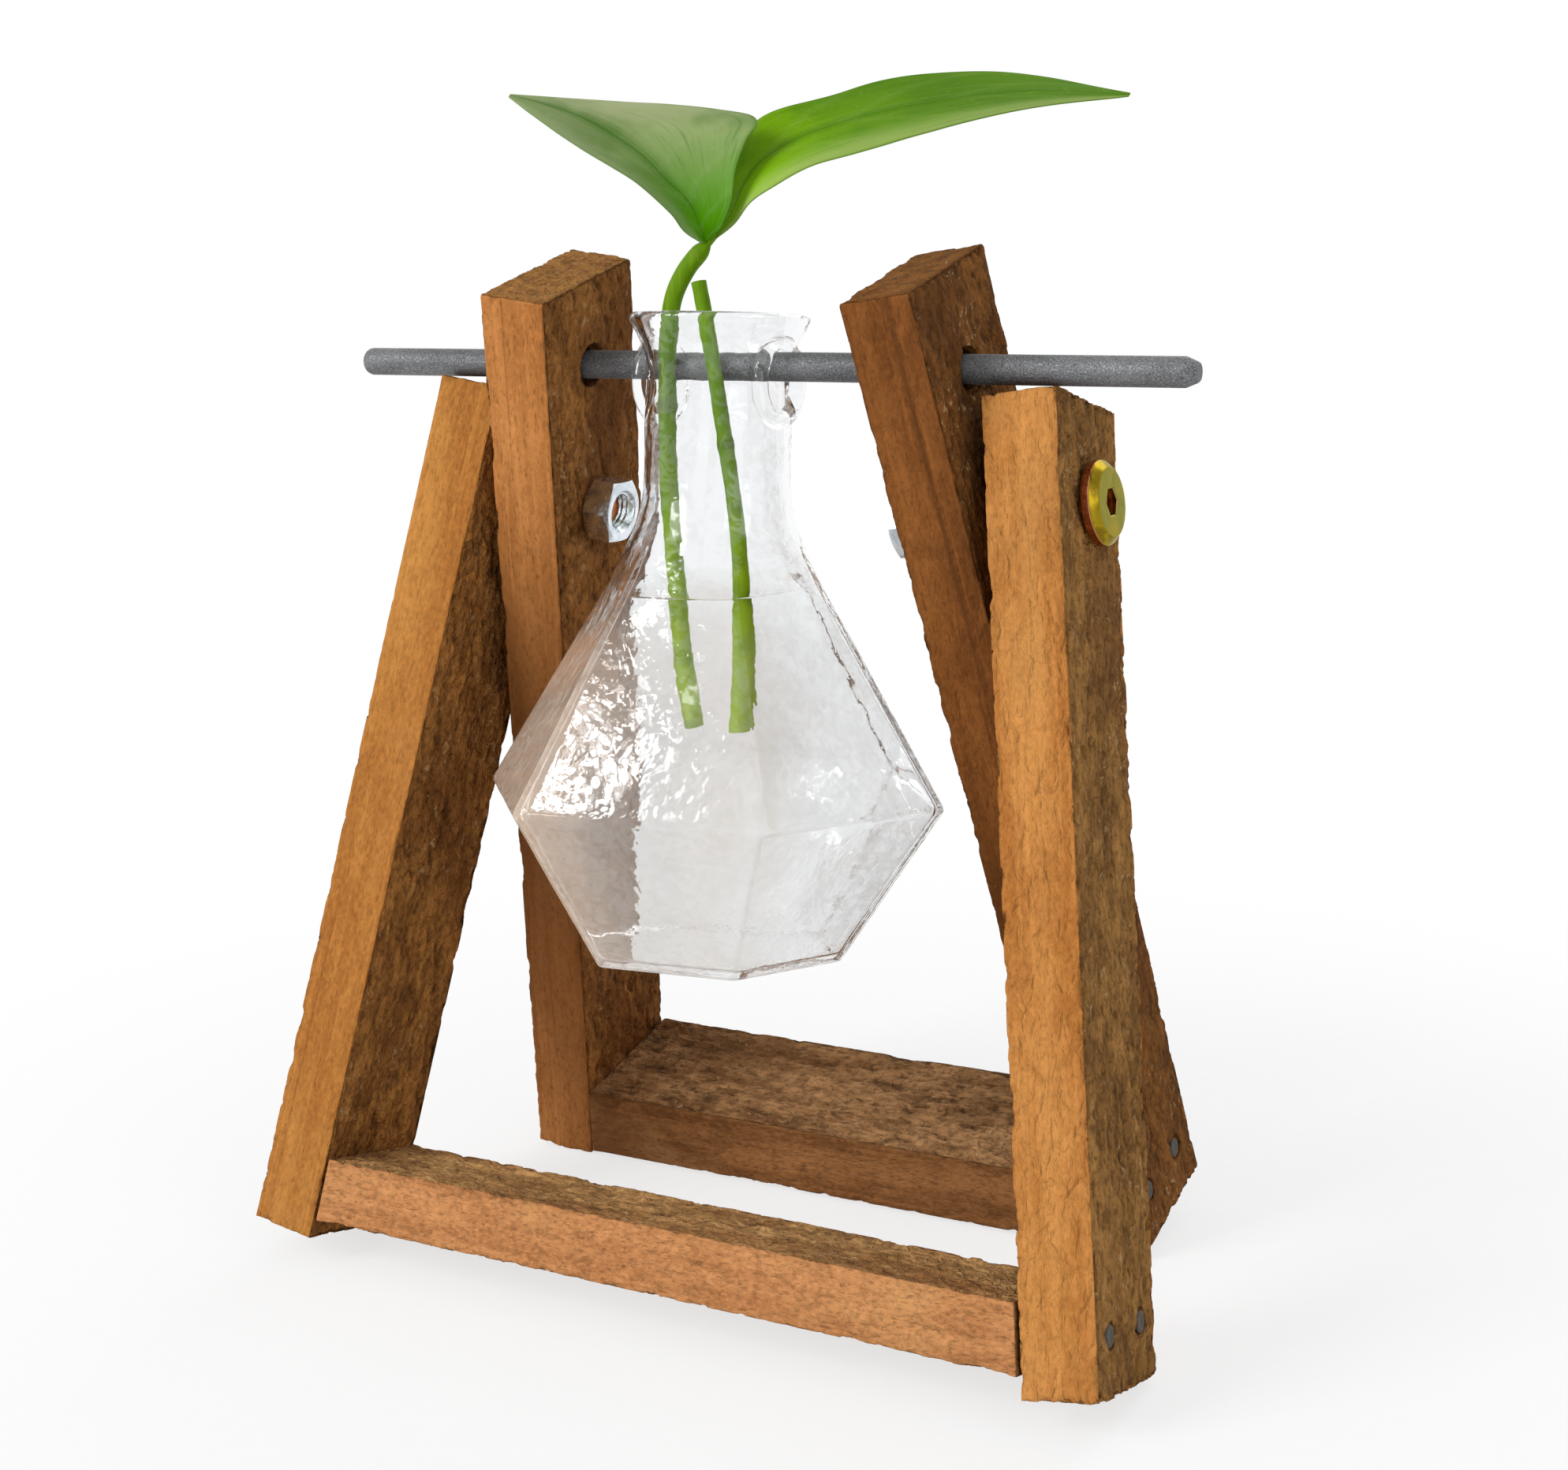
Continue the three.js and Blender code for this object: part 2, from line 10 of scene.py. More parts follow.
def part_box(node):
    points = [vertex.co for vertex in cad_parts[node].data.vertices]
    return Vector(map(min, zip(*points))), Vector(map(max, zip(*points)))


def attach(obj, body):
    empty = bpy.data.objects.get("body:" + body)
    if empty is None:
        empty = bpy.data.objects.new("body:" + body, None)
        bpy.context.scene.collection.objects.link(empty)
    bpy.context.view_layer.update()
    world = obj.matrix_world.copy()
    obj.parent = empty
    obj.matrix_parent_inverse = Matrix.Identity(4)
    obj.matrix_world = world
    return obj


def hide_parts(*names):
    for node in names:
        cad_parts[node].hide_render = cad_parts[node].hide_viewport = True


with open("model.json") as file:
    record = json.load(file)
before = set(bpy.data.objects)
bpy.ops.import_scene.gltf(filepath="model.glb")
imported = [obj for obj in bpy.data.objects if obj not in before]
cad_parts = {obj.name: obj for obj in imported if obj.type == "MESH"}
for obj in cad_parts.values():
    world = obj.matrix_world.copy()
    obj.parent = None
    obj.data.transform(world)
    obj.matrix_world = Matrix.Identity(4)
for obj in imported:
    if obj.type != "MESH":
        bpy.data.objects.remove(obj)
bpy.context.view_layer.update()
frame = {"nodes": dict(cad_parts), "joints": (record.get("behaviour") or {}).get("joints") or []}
scene = bpy.context.scene
scene.view_settings.view_transform = "Standard"

# Light passes many layers of glass and water.
scene.cycles.max_bounces = 48
scene.cycles.transmission_bounces = 48
scene.cycles.glossy_bounces = 24
joints = {joint["name"]: joint for joint in frame["joints"]}
mm = 0.001

# Camera fitted to the photograph. Width and focal length are in pixels, the spot is in metres.
photo_width = 1988
focal_length = 3090.7
camera_yaw, camera_pitch, camera_roll = 0.5028, -0.2195, -0.0252
camera_spot = (0.25136, -0.44577, 0.23031)

# Sizes in millimetres. Those of whole pieces are the solids' own.
stick_voxel = 0.52
bar_end = (8.0, 6.0)
rod_radius = 3.0
rod_round = 1.8
rod_bevel = (1.1, 2.6)
bolt_radius = 4.0
bolt_thread = 3.35
bolt_head = (8.5, 3.4)
socket_flats = 5.0
socket_depth = 2.4
nut_flats = 13.0
nut_face = 6.2
thread_pitch = 1.25
nail_length = 38.0
nail_radius = 1.0
nail_head = (2.2, 0.9)
seat_gap = 0.3
neck_radius = 15.4
glass_wall = 2.4
blown_wall = ((-56.2, -31.0, 0.0, 9.0), (1.7, 1.5, 1.6, 2.2))
base_drop = 124.0
base_corner = 29.56
girdle = (51.6, -90.0)
inner_girdle = (49.6, -90.0)
inner_floor = (28.9, -122.0)
shoulder = [(30.8, -56.2), (20.65, -40.1), (16.8, -32.4), (15.4, -24.0), (15.4, -12.0), (15.4, -1.3),
            (16.4, 4.3), (18.8, 9.0)]
hexagon_heights = (31.0, 56.2)
eye_place = (14.2, -3.0)
eye_ring = (8.1, 1.8)
outer_ripple = 0.08
inner_ripple = 0.12
water_level = 149.4
water_gap = 0.12
water_reach = -34.0
meniscus_rise = 0.8
meniscus_fall = 0.9
meniscus_width = 1.2
left_stem_radius = 1.9
right_stem_radius = 1.6
stem_depth = 76.0
left_leaf_length = 48.6
right_leaf_length = 92.0
leaf_thickness = 0.9

# Turn of the vase's hexagon on the rod, and how sharp its corners are
hexagon_twist = math.radians(9.9)
hexagon_power = 110

# Indexes of refraction. Glass and water bend light less than real ones do.
glass_index = 1.22
shine_index = 1.45
water_index = 1.05

# The vase hangs from the rod and leans back against the tall legs.
lean = math.atan2(joints["plant_lift"]["axis"][1], joints["plant_lift"]["axis"][2])
hanging = Matrix.Translation(joints["vase_swing"]["pos_m"]) @ Matrix.Rotation(-lean, 4, "X")


# Node trees

class Field:
    """One output of a node tree. Operators on it add Math nodes."""

    def __init__(self, nodes, socket):
        self.nodes = nodes
        self.socket = socket

    def maths(self, operation, *values):
        return self.nodes.node("ShaderNodeMath", {"operation": operation}, dict(enumerate(values)))

    def __add__(self, other):
        return self.maths("ADD", self, other)

    def __radd__(self, other):
        return self.maths("ADD", other, self)

    def __sub__(self, other):
        return self.maths("SUBTRACT", self, other)

    def __rsub__(self, other):
        return self.maths("SUBTRACT", other, self)

    def __mul__(self, other):
        return self.maths("MULTIPLY", self, other)

    def __pow__(self, other):
        return self.maths("POWER", self, other)

    def __abs__(self):
        return self.maths("ABSOLUTE", self)

    def least(self, other):
        return self.maths("MINIMUM", self, other)

    def most(self, other):
        return self.maths("MAXIMUM", self, other)

    def below(self, other):
        return self.maths("LESS_THAN", self, other)

    def sine(self):
        return self.maths("SINE", self)


class Nodes:
    """Builds one node tree, of a material, the world or a geometry rule."""

    def __init__(self, tree):
        self.tree = tree

    def node(self, kind, settings=(), sockets=(), output=0):
        made = self.tree.nodes.new(kind)
        for key, value in dict(settings).items():
            if key == "stops":
                ramp = made.color_ramp.elements
                for element, (place, colour) in zip((ramp[0], ramp[1]), (value[0], value[-1])):
                    element.position = place
                    element.color = colour
                for place, colour in value[1:-1]:
                    ramp.new(place).color = colour
            else:
                setattr(made, key, value)
        for key, value in dict(sockets).items():
            if isinstance(value, Field):
                self.tree.links.new(value.socket, made.inputs[key])
            else:
                made.inputs[key].default_value = value
        return Field(self, made.outputs[output]) if len(made.outputs) else None

    def outputs(self, kind, settings=(), sockets=()):
        made = self.node(kind, settings, sockets).socket.node
        return {socket.name: Field(self, socket) for socket in made.outputs}

    def vector(self, operation, one, other):
        return self.node("ShaderNodeVectorMath", {"operation": operation}, {0: one, 1: other})

    def stretched(self, vector, *scale):
        return self.vector("MULTIPLY", vector, scale)

    def noise(self, vector, scale, detail=2.0, roughness=0.5, distortion=0.0):
        return self.node("ShaderNodeTexNoise", {}, {
            "Vector": vector, "Scale": scale, "Detail": detail,
            "Roughness": roughness, "Distortion": distortion})

    def blend(self, factor, one, other):
        return self.node("ShaderNodeMixShader", {}, {0: factor, 1: one, 2: other})

    def step(self, value, low, high, start=0.0, end=1.0):
        return self.node("ShaderNodeMapRange", {"interpolation_type": "SMOOTHSTEP"}, {
            "Value": value, "From Min": low, "From Max": high, "To Min": start, "To Max": end})

    def stored(self, shape, name, value, kind="FLOAT"):
        return self.node("GeometryNodeStoreNamedAttribute", {"data_type": kind, "domain": "POINT"}, {
            "Geometry": shape, "Name": name, "Value": value})

    def parts(self, vector):
        return list(self.outputs("ShaderNodeSeparateXYZ", {}, {0: vector}).values())

    def mix(self, factor, one, other, blend="MIX"):
        return self.node("ShaderNodeMix", {"data_type": "RGBA", "blend_type": blend}, {
            0: factor, 6: one, 7: other}, 2)

    def ramp(self, value, *stops):
        return self.node("ShaderNodeValToRGB", {"stops": stops}, {0: value})


def tone(red, green, blue):
    """Linear colour of an 8-bit one."""
    return (*(c / 12.92 if c <= 0.04045 else ((c + 0.055) / 1.055) ** 2.4
              for c in (red / 255, green / 255, blue / 255)), 1.0)


class Look(Nodes):
    """A material with one main shader."""

    def __init__(self, name):
        self.material = bpy.data.materials.new(name)
        self.material.use_nodes = True
        super().__init__(self.material.node_tree)
        self.tree.nodes.clear()

    def place(self):
        return self.node("ShaderNodeTexCoord", {}, {}, "Object")

    def attribute(self, name, output="Fac"):
        return self.node("ShaderNodeAttribute", {"attribute_name": name}, {}, output)

    def bump(self, height, depth, strength=1.0):
        return self.node("ShaderNodeBump", {}, {
            "Height": height, "Distance": depth, "Strength": strength})

    def layers(self, colour, *rows):
        """Lays tones over a colour, each by its share where a value passes between two bounds."""
        for other, share, value, low, high in rows:
            colour = self.mix(self.step(value, low, high, 0.0, share), colour, other)
        return colour

    def output(self, shader):
        self.node("ShaderNodeOutputMaterial", {}, {"Surface": shader})
        return self.material

    def finish(self, sockets):
        return self.output(self.node("ShaderNodeBsdfPrincipled", {}, sockets))


def geometry_rule(name, inputs):
    """A geometry tree with named inputs, its node builder and those inputs."""
    tree = bpy.data.node_groups.new(name, "GeometryNodeTree")
    for label, kind in {"Geometry": "Geometry", **inputs}.items():
        tree.interface.new_socket(label, in_out="INPUT", socket_type="NodeSocket" + kind)
    tree.interface.new_socket("Geometry", in_out="OUTPUT", socket_type="NodeSocketGeometry")
    nodes = Nodes(tree)
    return tree, nodes, nodes.outputs("NodeGroupInput")


def end_rule(nodes, shape, material):
    """Closes a geometry tree with plain geometry in one material."""
    shape = nodes.node("GeometryNodeRealizeInstances", {}, {"Geometry": shape})
    shape = nodes.node("GeometryNodeSetMaterial", {}, {"Geometry": shape, "Material": material})
    nodes.node("NodeGroupOutput", {}, {"Geometry": shape})


def follow_rule(made, tree, values):
    """Hangs a geometry rule on an object, with its named inputs set."""
    modifier = made.modifiers.new(tree.name, "NODES")
    modifier.node_group = tree
    for item in tree.interface.items_tree:
        if item.in_out == "INPUT" and item.name in values:
            modifier[item.identifier] = values[item.name]


# Meshes

def mesh_of(name, points, faces, edges=()):
    mesh = bpy.data.meshes.new(name)
    mesh.from_pydata([tuple(p) for p in points], list(edges), faces)
    mesh.update()
    return mesh


def lofted(name, rings, capped=True):
    """Mesh through rings of points. A fan closes each end, unless the rings close on themselves."""
    rings = np.asarray(rings, float)
    count, around, _ = rings.shape
    points = list(rings.reshape(-1, 3))
    faces = []
    for i in range(count - 1):
        for j in range(around):
            k = (j + 1) % around
            near, far = i * around, (i + 1) * around
            faces.append((near + j, near + k, far + k, far + j))
    for ring in (0, count - 1) if capped else ():
        points.append(rings[ring].mean(0))
        for j in range(around):
            faces.append((ring * around + j, ring * around + (j + 1) % around, len(points) - 1))
    return outward(mesh_of(name, points, faces))


def outward(mesh, joined=True):
    """Joins doubled points, unless told not to, and turns every face out."""
    shape = bmesh.new()
    shape.from_mesh(mesh)
    if joined:
        bmesh.ops.remove_doubles(shape, verts=shape.verts, dist=2e-7)
    bmesh.ops.recalc_face_normals(shape, faces=shape.faces)
    shape.to_mesh(mesh)
    shape.free()
    return mesh


def loose(name, mesh):
    made = bpy.data.objects.new(name, mesh)
    scene.collection.objects.link(made)
    return made


def evaluated(made):
    """Plain mesh of an object with its modifiers. The object is taken away."""
    bpy.context.view_layer.update()
    graph = bpy.context.evaluated_depsgraph_get()
    mesh = bpy.data.meshes.new_from_object(
        made.evaluated_get(graph), preserve_all_data_layers=True, depsgraph=graph)
    bpy.data.objects.remove(made)
    return mesh


def dressed(name, mesh, material, body, nodes, sharp=None):
    """Finished piece that rides on a body and stands for its solids."""
    mesh.materials.clear()
    mesh.materials.append(material)
    mesh.shade_smooth()
    if sharp is not None:
        mesh.set_sharp_from_angle(angle=math.radians(sharp))
    made = loose(name, mesh)
    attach(made, body)
    if nodes:
        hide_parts(*nodes)
    return made


def points_of(mesh):
    points = np.zeros(len(mesh.vertices) * 3)
    mesh.vertices.foreach_get("co", points)
    return points.reshape(-1, 3)


def placed(points, matrix):
    """Millimetre points of a local frame as metres in the stand's frame."""
    turn = np.array(matrix.to_3x3())
    return np.asarray(points, float) * mm @ turn.T + np.array(matrix.translation)


def spline(points, count):
    """Points along a centripetal curve through the given ones."""
    points = [np.asarray(p, float) for p in points]
    points = [2 * points[0] - points[1], *points, 2 * points[-1] - points[-2]]
    made = []
    for t in np.linspace(0, len(points) - 3, count):
        i = min(int(t), len(points) - 4)
        w = t - i
        a, b, c, d = points[i:i + 4]
        ab, bc, cd = (max(np.linalg.norm(v) ** 0.5, 1e-4) for v in (b - a, c - b, d - c))
        leave = ((b - a) / ab - (c - a) / (ab + bc) + (c - b) / bc) * bc
        reach = ((c - b) / bc - (d - b) / (bc + cd) + (d - c) / cd) * bc
        made.append(b + leave * w + (3 * (c - b) - 2 * leave - reach) * w * w
                    + (2 * (b - c) + leave + reach) * w ** 3)
    return np.array(made)


def eased(value, low, high):
    share = min(max((value - low) / (high - low), 0.0), 1.0)
    return share * share * (3 - 2 * share)


# Camera, light and floor

def set_camera():
    data = bpy.data.cameras.new("camera")
    data.sensor_fit = "HORIZONTAL"
    data.sensor_width = 36
    data.lens = focal_length / photo_width * data.sensor_width
    data.clip_start = 0.02
    camera = loose("camera", data)
    aim = (Matrix.Rotation(camera_yaw, 4, "Z") @ Matrix.Rotation(math.pi / 2 + camera_pitch, 4, "X")
           @ Matrix.Rotation(camera_roll, 4, "Z"))
    camera.matrix_world = Matrix.Translation(camera_spot) @ aim
    scene.camera = camera


def lamp(name, spot, aim, size, power):
    data = bpy.data.lights.new(name, "AREA")
    data.shape = "RECTANGLE"
    data.size, data.size_y = size
    data.energy = power
    made = loose(name, data)
    made.location = spot
    made.rotation_euler = (Vector(aim) - Vector(spot)).to_track_quat("-Z", "Y").to_euler()


def seen(nodes):
    """One for a ray that shows the background itself: seen, mirrored or through glass."""
    rays = nodes.outputs("ShaderNodeLightPath")
    return rays["Is Camera Ray"].most(rays["Is Glossy Ray"]).most(rays["Is Transmission Ray"])


def set_light():
    world = bpy.data.worlds.new("studio")
    scene.world = world
    world.use_nodes = True
    nodes = Nodes(world.node_tree)
    nodes.tree.nodes.clear()
    soft = nodes.node("ShaderNodeBackground", {}, {"Color": (0.97, 0.985, 1, 1), "Strength": 0.5})
    white = nodes.node("ShaderNodeBackground", {}, {"Color": (1, 1, 1, 1), "Strength": 1.0})
    nodes.node("ShaderNodeOutputWorld", {}, {"Surface": nodes.blend(seen(nodes), soft, white)})
    lamp("key", (-0.72, -1.08, 0.8), (0, 0, 0.12), (0.6, 0.6), 11.0)
    lamp("fill", (1.2, -0.6, 0.7), (0, 0, 0.12), (0.9, 0.9), 3.0)
    lamp("back", (0.2, 1.1, 1.0), (0, 0, 0.1), (0.9, 0.7), 4.0)
    lamp("window", (-0.44, -0.97, 1.18), (0, 0, 0.1), (0.1, 0.14), 1.2)


def set_floor():
    look = Look("pale_floor")
    place = look.place()
    away = look.node("ShaderNodeVectorMath", {"operation": "LENGTH"}, {0: place}, "Value")
    grit = look.noise(place, 260, 3)
    shade = look.ramp(grit, (0.3, (0.93, 0.93, 0.93, 1)), (0.7, (0.96, 0.96, 0.96, 1)))
    matt = look.node("ShaderNodeBsdfPrincipled", {}, {
        "Base Color": shade, "Roughness": 1.0, "Specular IOR Level": 0.0})
    white = look.node("ShaderNodeEmission", {}, {"Color": (1, 1, 1, 1), "Strength": 1.0})
    shown = look.step(away, 0.1, 0.34, 0.72, 1.0) * seen(look)
    look.output(look.blend(shown, matt, white))
    shape = bmesh.new()
    bmesh.ops.create_circle(shape, cap_ends=True, segments=96, radius=6.0)
    mesh = bpy.data.meshes.new("floor")
    shape.to_mesh(mesh)
    shape.free()
    mesh.materials.append(look.material)
    floor = loose("floor", mesh)
    floor.location.z = -0.0003


set_camera()
set_light()
set_floor()


# Wooden legs and crossbars

def stick_axes(mesh):
    """Unit normals across a stick's wide and narrow faces, and the way of its grain."""
    groups = []
    for polygon in mesh.polygons:
        normal = np.array(polygon.normal)
        for group in groups:
            if abs(normal @ group[0]) > 0.9995:
                group[1] += polygon.area
                break
        else:
            groups.append([normal, polygon.area])
    groups.sort(key=lambda group: -group[1])
    across, side = groups[0][0], groups[1][0]
    side = side - across * (side @ across)
    side /= np.linalg.norm(side)
    along = np.cross(across, side)
    if along[np.argmax(np.abs(along))] < 0:
        along, side = -along, -side
    return np.stack([across, side, along])


def sawn_stick_rule():
    """Tears and wears an evenly meshed stick, and stores where each point lay in the plank."""
    tree, nodes, given = geometry_rule("sawn_stick", {
        "Half Size": "Vector", "Seed": "Vector", "Torn Depth": "Float", "Sawn Depth": "Float",
        "End Depth": "Float", "Chip Depth": "Float", "Wood": "Material"})
    where = nodes.node("GeometryNodeInputPosition")
    normal = nodes.node("GeometryNodeInputNormal")
    aside = nodes.node("ShaderNodeVectorMath", {"operation": "ABSOLUTE"}, {0: where})
    x, y, z = nodes.parts(nodes.vector("SUBTRACT", given["Half Size"], aside))
    rim = x.least(y).most(x.most(y).least(z))
    wide = x.below(y.least(z))
    narrow = y.below(x.least(z))
    ends = 1 - wide.most(narrow)
    plank = nodes.vector("ADD", where, given["Seed"])

    lumps = nodes.noise(nodes.stretched(plank, 1, 1, 0.5), 330, 3, 0.55, 0.6)
    ridges = nodes.noise(nodes.stretched(plank, 1, 1, 0.2), 700, 3, 0.6)
    seam = abs(nodes.noise(nodes.stretched(plank, 1, 1, 0.25), 210, 3, 0.6) - 0.5)
    loosened = nodes.step(nodes.noise(nodes.stretched(plank, 1, 1, 0.4), 50, 2), 0.38, 0.6)
    cracks = nodes.step(seam, 0.0, 0.035, 1.0, 0.0) * loosened
    rough = nodes.step(lumps, 0.64, 0.36) * 0.65 + ridges * 0.2 + cracks * 0.4
    pits = nodes.step(nodes.noise(nodes.stretched(plank, 1, 1, 0.3), 800, 3, 0.6), 0.52, 0.75)
    sway = nodes.noise(nodes.stretched(plank, 1, 1, 0.35), 60, 1)
    sawn = pits * 0.5 + sway
    chips = nodes.step(nodes.noise(nodes.stretched(plank, 1, 1, 0.5), 300, 4, 0.6), 0.47, 0.7)
    inner = nodes.step(z, 0.0, 0.004)
    free = inner.most(given["End Depth"] * 4000)
    chipped = chips * nodes.step(rim, 0.0, 0.0022, 1.0, 0.0) * free
    worn = nodes.step(rim, 0.0, 0.0009, 1.0, 0.0)
    depth = (wide * rough * given["Torn Depth"] + narrow * sawn * given["Sawn Depth"] * inner
             + ends * rough * given["End Depth"] + chipped * given["Chip Depth"] + worn * free * 0.0002)
    back = nodes.node("ShaderNodeVectorMath", {"operation": "SCALE"}, {
        0: normal, "Scale": 0 - depth})
    sides = nodes.node("ShaderNodeCombineXYZ", {}, {0: wide, 1: narrow, 2: ends})
    shape = given["Geometry"]
    for name, value in (("plank", plank), ("sides", sides)):
        shape = nodes.stored(shape, name, value, "FLOAT_VECTOR")
    for name, value in (("rim", rim * 1000), ("hollow", rough), ("chip", chipped)):
        shape = nodes.stored(shape, name, value)
    shape = nodes.node("GeometryNodeSetPosition", {}, {"Geometry": shape, "Offset": back})
    end_rule(nodes, shape, given["Wood"])
    return tree


def sawn_look(name, bright, deep, torn_light, torn_dark, end_tone, stain,
              sandy, crinkled, specked, painted_shadow=None):
    """Wood with smooth-sawn narrow faces, torn wide faces and end grain.

    stain is the tone of the torn faces' patches. sandy, crinkled and specked set the narrow faces'
    grit, relief and dark pores. painted_shadow has the heights between which they darken in a painted
    shadow, its share and tone."""
    look = Look(name)
    plank = look.attribute("plank", "Vector")
    wide, _, ends = look.parts(look.attribute("sides", "Vector"))
    rim = look.attribute("rim")
    hollow = look.attribute("hollow")
    chip = look.attribute("chip")
    pale = (*(min(c * 1.3, 0.9) for c in bright[:3]), 1.0)

    def grain(share, scale, detail=3, roughness=0.5, bend=0.0):
        return look.noise(look.stretched(plank, 1, 1, share), scale, detail, roughness, bend)

    crinkles = grain(0.45, 330, 4, 0.48, 0.8)
    wrinkles = grain(0.5, 800, 3, 0.5, 0.6)
    lines = grain(0.02, 780, 3, 0.55)
    bands = grain(0.04, 150, 2)
    clouds = grain(0.45, 55, 4, 0.58)
    grit = grain(0.7, 1200, 3, 0.55)
    pores = look.step(grain(0.25, 2300, 2), 0.61, 0.68)
    even = look.layers(
        bright, (deep, 1.0, bands * 0.5 + clouds * 0.5, 0.4, 0.6), (deep, 0.45, lines, 0.5, 0.7),
        (pale, 0.3, lines, 0.48, 0.3), (deep, 0.45, crinkles, 0.52, 0.68),
        (pale, 0.25, crinkles, 0.46, 0.3), (torn_light, 0.35, grain(0.5, 36, 4, 0.6), 0.52, 0.7),
        (torn_dark, sandy, grit, 0.5, 0.34), (pale, sandy, grit, 0.52, 0.66),
        (torn_dark, 0.4, grain(0.006, 260, 2), 0.64, 0.68))
    even = look.mix(pores * specked, even, tone(74, 45, 22))
    # Painted shadow: the narrow faces darken between two heights, less so towards the foot, where the
    # vase's shadow falls.
    if painted_shadow:
        height = look.parts(look.place())[2]
        shade = look.step(height, painted_shadow[1], painted_shadow[0]) * look.step(height, 0.0, 0.1, 0.25, 1.0)
        even = look.mix(shade * painted_shadow[2], even, painted_shadow[3])

    lumps = grain(0.6, 300, 4, 0.5, 0.8)
    fibre = grain(0.16, 900, 3, 0.55)
    crumbs = grain(0.75, 760, 3, 0.5, 0.8)
    patches = grain(0.4, 70, 4, 0.58)
    torn = look.mix(look.step(lumps * 0.4 + fibre * 0.2 + patches * 0.4, 0.38, 0.63, 0.25, 1.0),
                    torn_dark, torn_light)
    # Painted shade: the last layer darkens the torn faces in the hollows of their relief.
    torn = look.layers(
        torn, (stain, 0.5, grain(0.5, 40, 3), 0.48, 0.68), (tone(50, 30, 14), 0.4, crumbs, 0.5, 0.34),
        (tone(48, 29, 13), 0.6, hollow, 0.55, 1.0))
    # Pale flecks on raised crumbs: partly pale fibres, partly painted glints.
    flecks_and_glints = look.step(crumbs, 0.6, 0.68) * look.step(look.noise(plank, 75, 3), 0.45, 0.6)
    torn = look.mix(flecks_and_glints * 0.6, torn, tone(196, 166, 122))

    pith = look.vector("ADD", look.stretched(look.place(), 1, 1, 0), (0.028, 0.012, 0))
    arcs = look.node("ShaderNodeTexWave", {"wave_type": "RINGS", "rings_direction": "Z"}, {
        "Vector": pith, "Scale": 90.0, "Distortion": 3.0, "Detail": 3.0, "Detail Scale": 2.0}, "Fac")
    cut = look.mix(look.step(look.noise(plank, 260, 4, 0.6), 0.36, 0.64, 0.45, 1.0), torn_dark, end_tone)
    # The end grain takes the same pale flecks and painted glints.
    cut = look.mix(flecks_and_glints * 0.5, look.layers(cut, (pale, 0.2, arcs, 0.8, 1.0)), tone(186, 152, 108))
    # Painted shade in the hollows of the end grain.
    cut = look.layers(cut, (tone(58, 36, 17), 0.3, hollow, 0.6, 1.0))

    colour = look.mix(wide, even, torn)
    colour = look.mix(ends, colour, cut)
    colour = look.mix(chip * 0.5, colour, torn_dark)
    # Painted highlight: a pale broken line along the edges.
    rim_highlight = look.step(rim, 0.15, 0.8, 1.0, 0.0) * look.step(look.noise(plank, 330, 3), 0.5, 0.62)
    colour = look.mix(rim_highlight * 0.45, colour, pale)
    rough = wide.most(ends)
    torn_relief = lumps * 1.2 + fibre * 0.2 + crumbs * 1.1
    sawn_relief = (crinkles * crinkled + wrinkles * (0.1 + crinkled * 0.35) + lines * 0.15
                   + grit * (0.06 + sandy * 0.3) - pores * (0.15 * specked))
    relief = rough * torn_relief + (1 - rough) * sawn_relief
    return look.finish({
        "Base Color": colour, "Roughness": 0.74 + rough * 0.14,
        "Normal": look.bump(relief, 0.0015, 1.0), "Specular IOR Level": 0.1})


stick_rule = sawn_stick_rule()


def saw(node, body, look, seed, torn=0.9, sawn=0.18, end=0.25, chip=0.8, splay=0.0):
    """Wooden stick with the saw's marks on it, in place of a plain solid.

    torn, sawn, end and chip are depths in millimetres. splay, in degrees, draws a crossbar's ends
    out to the legs that lean away below it."""
    mesh = outward(frame["nodes"][node].data.copy())
    turn = stick_axes(mesh)
    local = points_of(mesh) @ turn.T
    half = (local.max(0) - local.min(0)) / 2
    stock = Matrix(turn.T.tolist()).to_4x4()
    stock.translation = Vector(turn.T @ ((local.min(0) + local.max(0)) / 2))
    mesh.transform(stock.inverted())
    stick = loose(node + "_stock", mesh)
    remesh = stick.modifiers.new("even", "REMESH")
    remesh.mode = "VOXEL"
    remesh.voxel_size = stick_voxel * mm
    follow_rule(stick, stick_rule, {
        "Half Size": half.tolist(), "Seed": (seed * 0.37, seed * 0.53, seed * 0.71),
        "Torn Depth": torn * mm, "Sawn Depth": sawn * mm, "End Depth": end * mm,
        "Chip Depth": chip * mm, "Wood": look})
    made = evaluated(stick)
    made.transform(stock)
    if splay:
        points = points_of(made)
        reach = np.abs(points[:, 0])
        length, run = bar_end
        share = np.clip((reach - reach.max() + length * mm) / (run * mm), 0, 1)
        fall = points[:, 2].max() - points[:, 2]
        points[:, 0] *= 1 + share * fall * math.tan(math.radians(splay)) / reach.max()
        made.vertices.foreach_set("co", points.ravel())
    dressed(node + "_wood", made, look, body, [node])


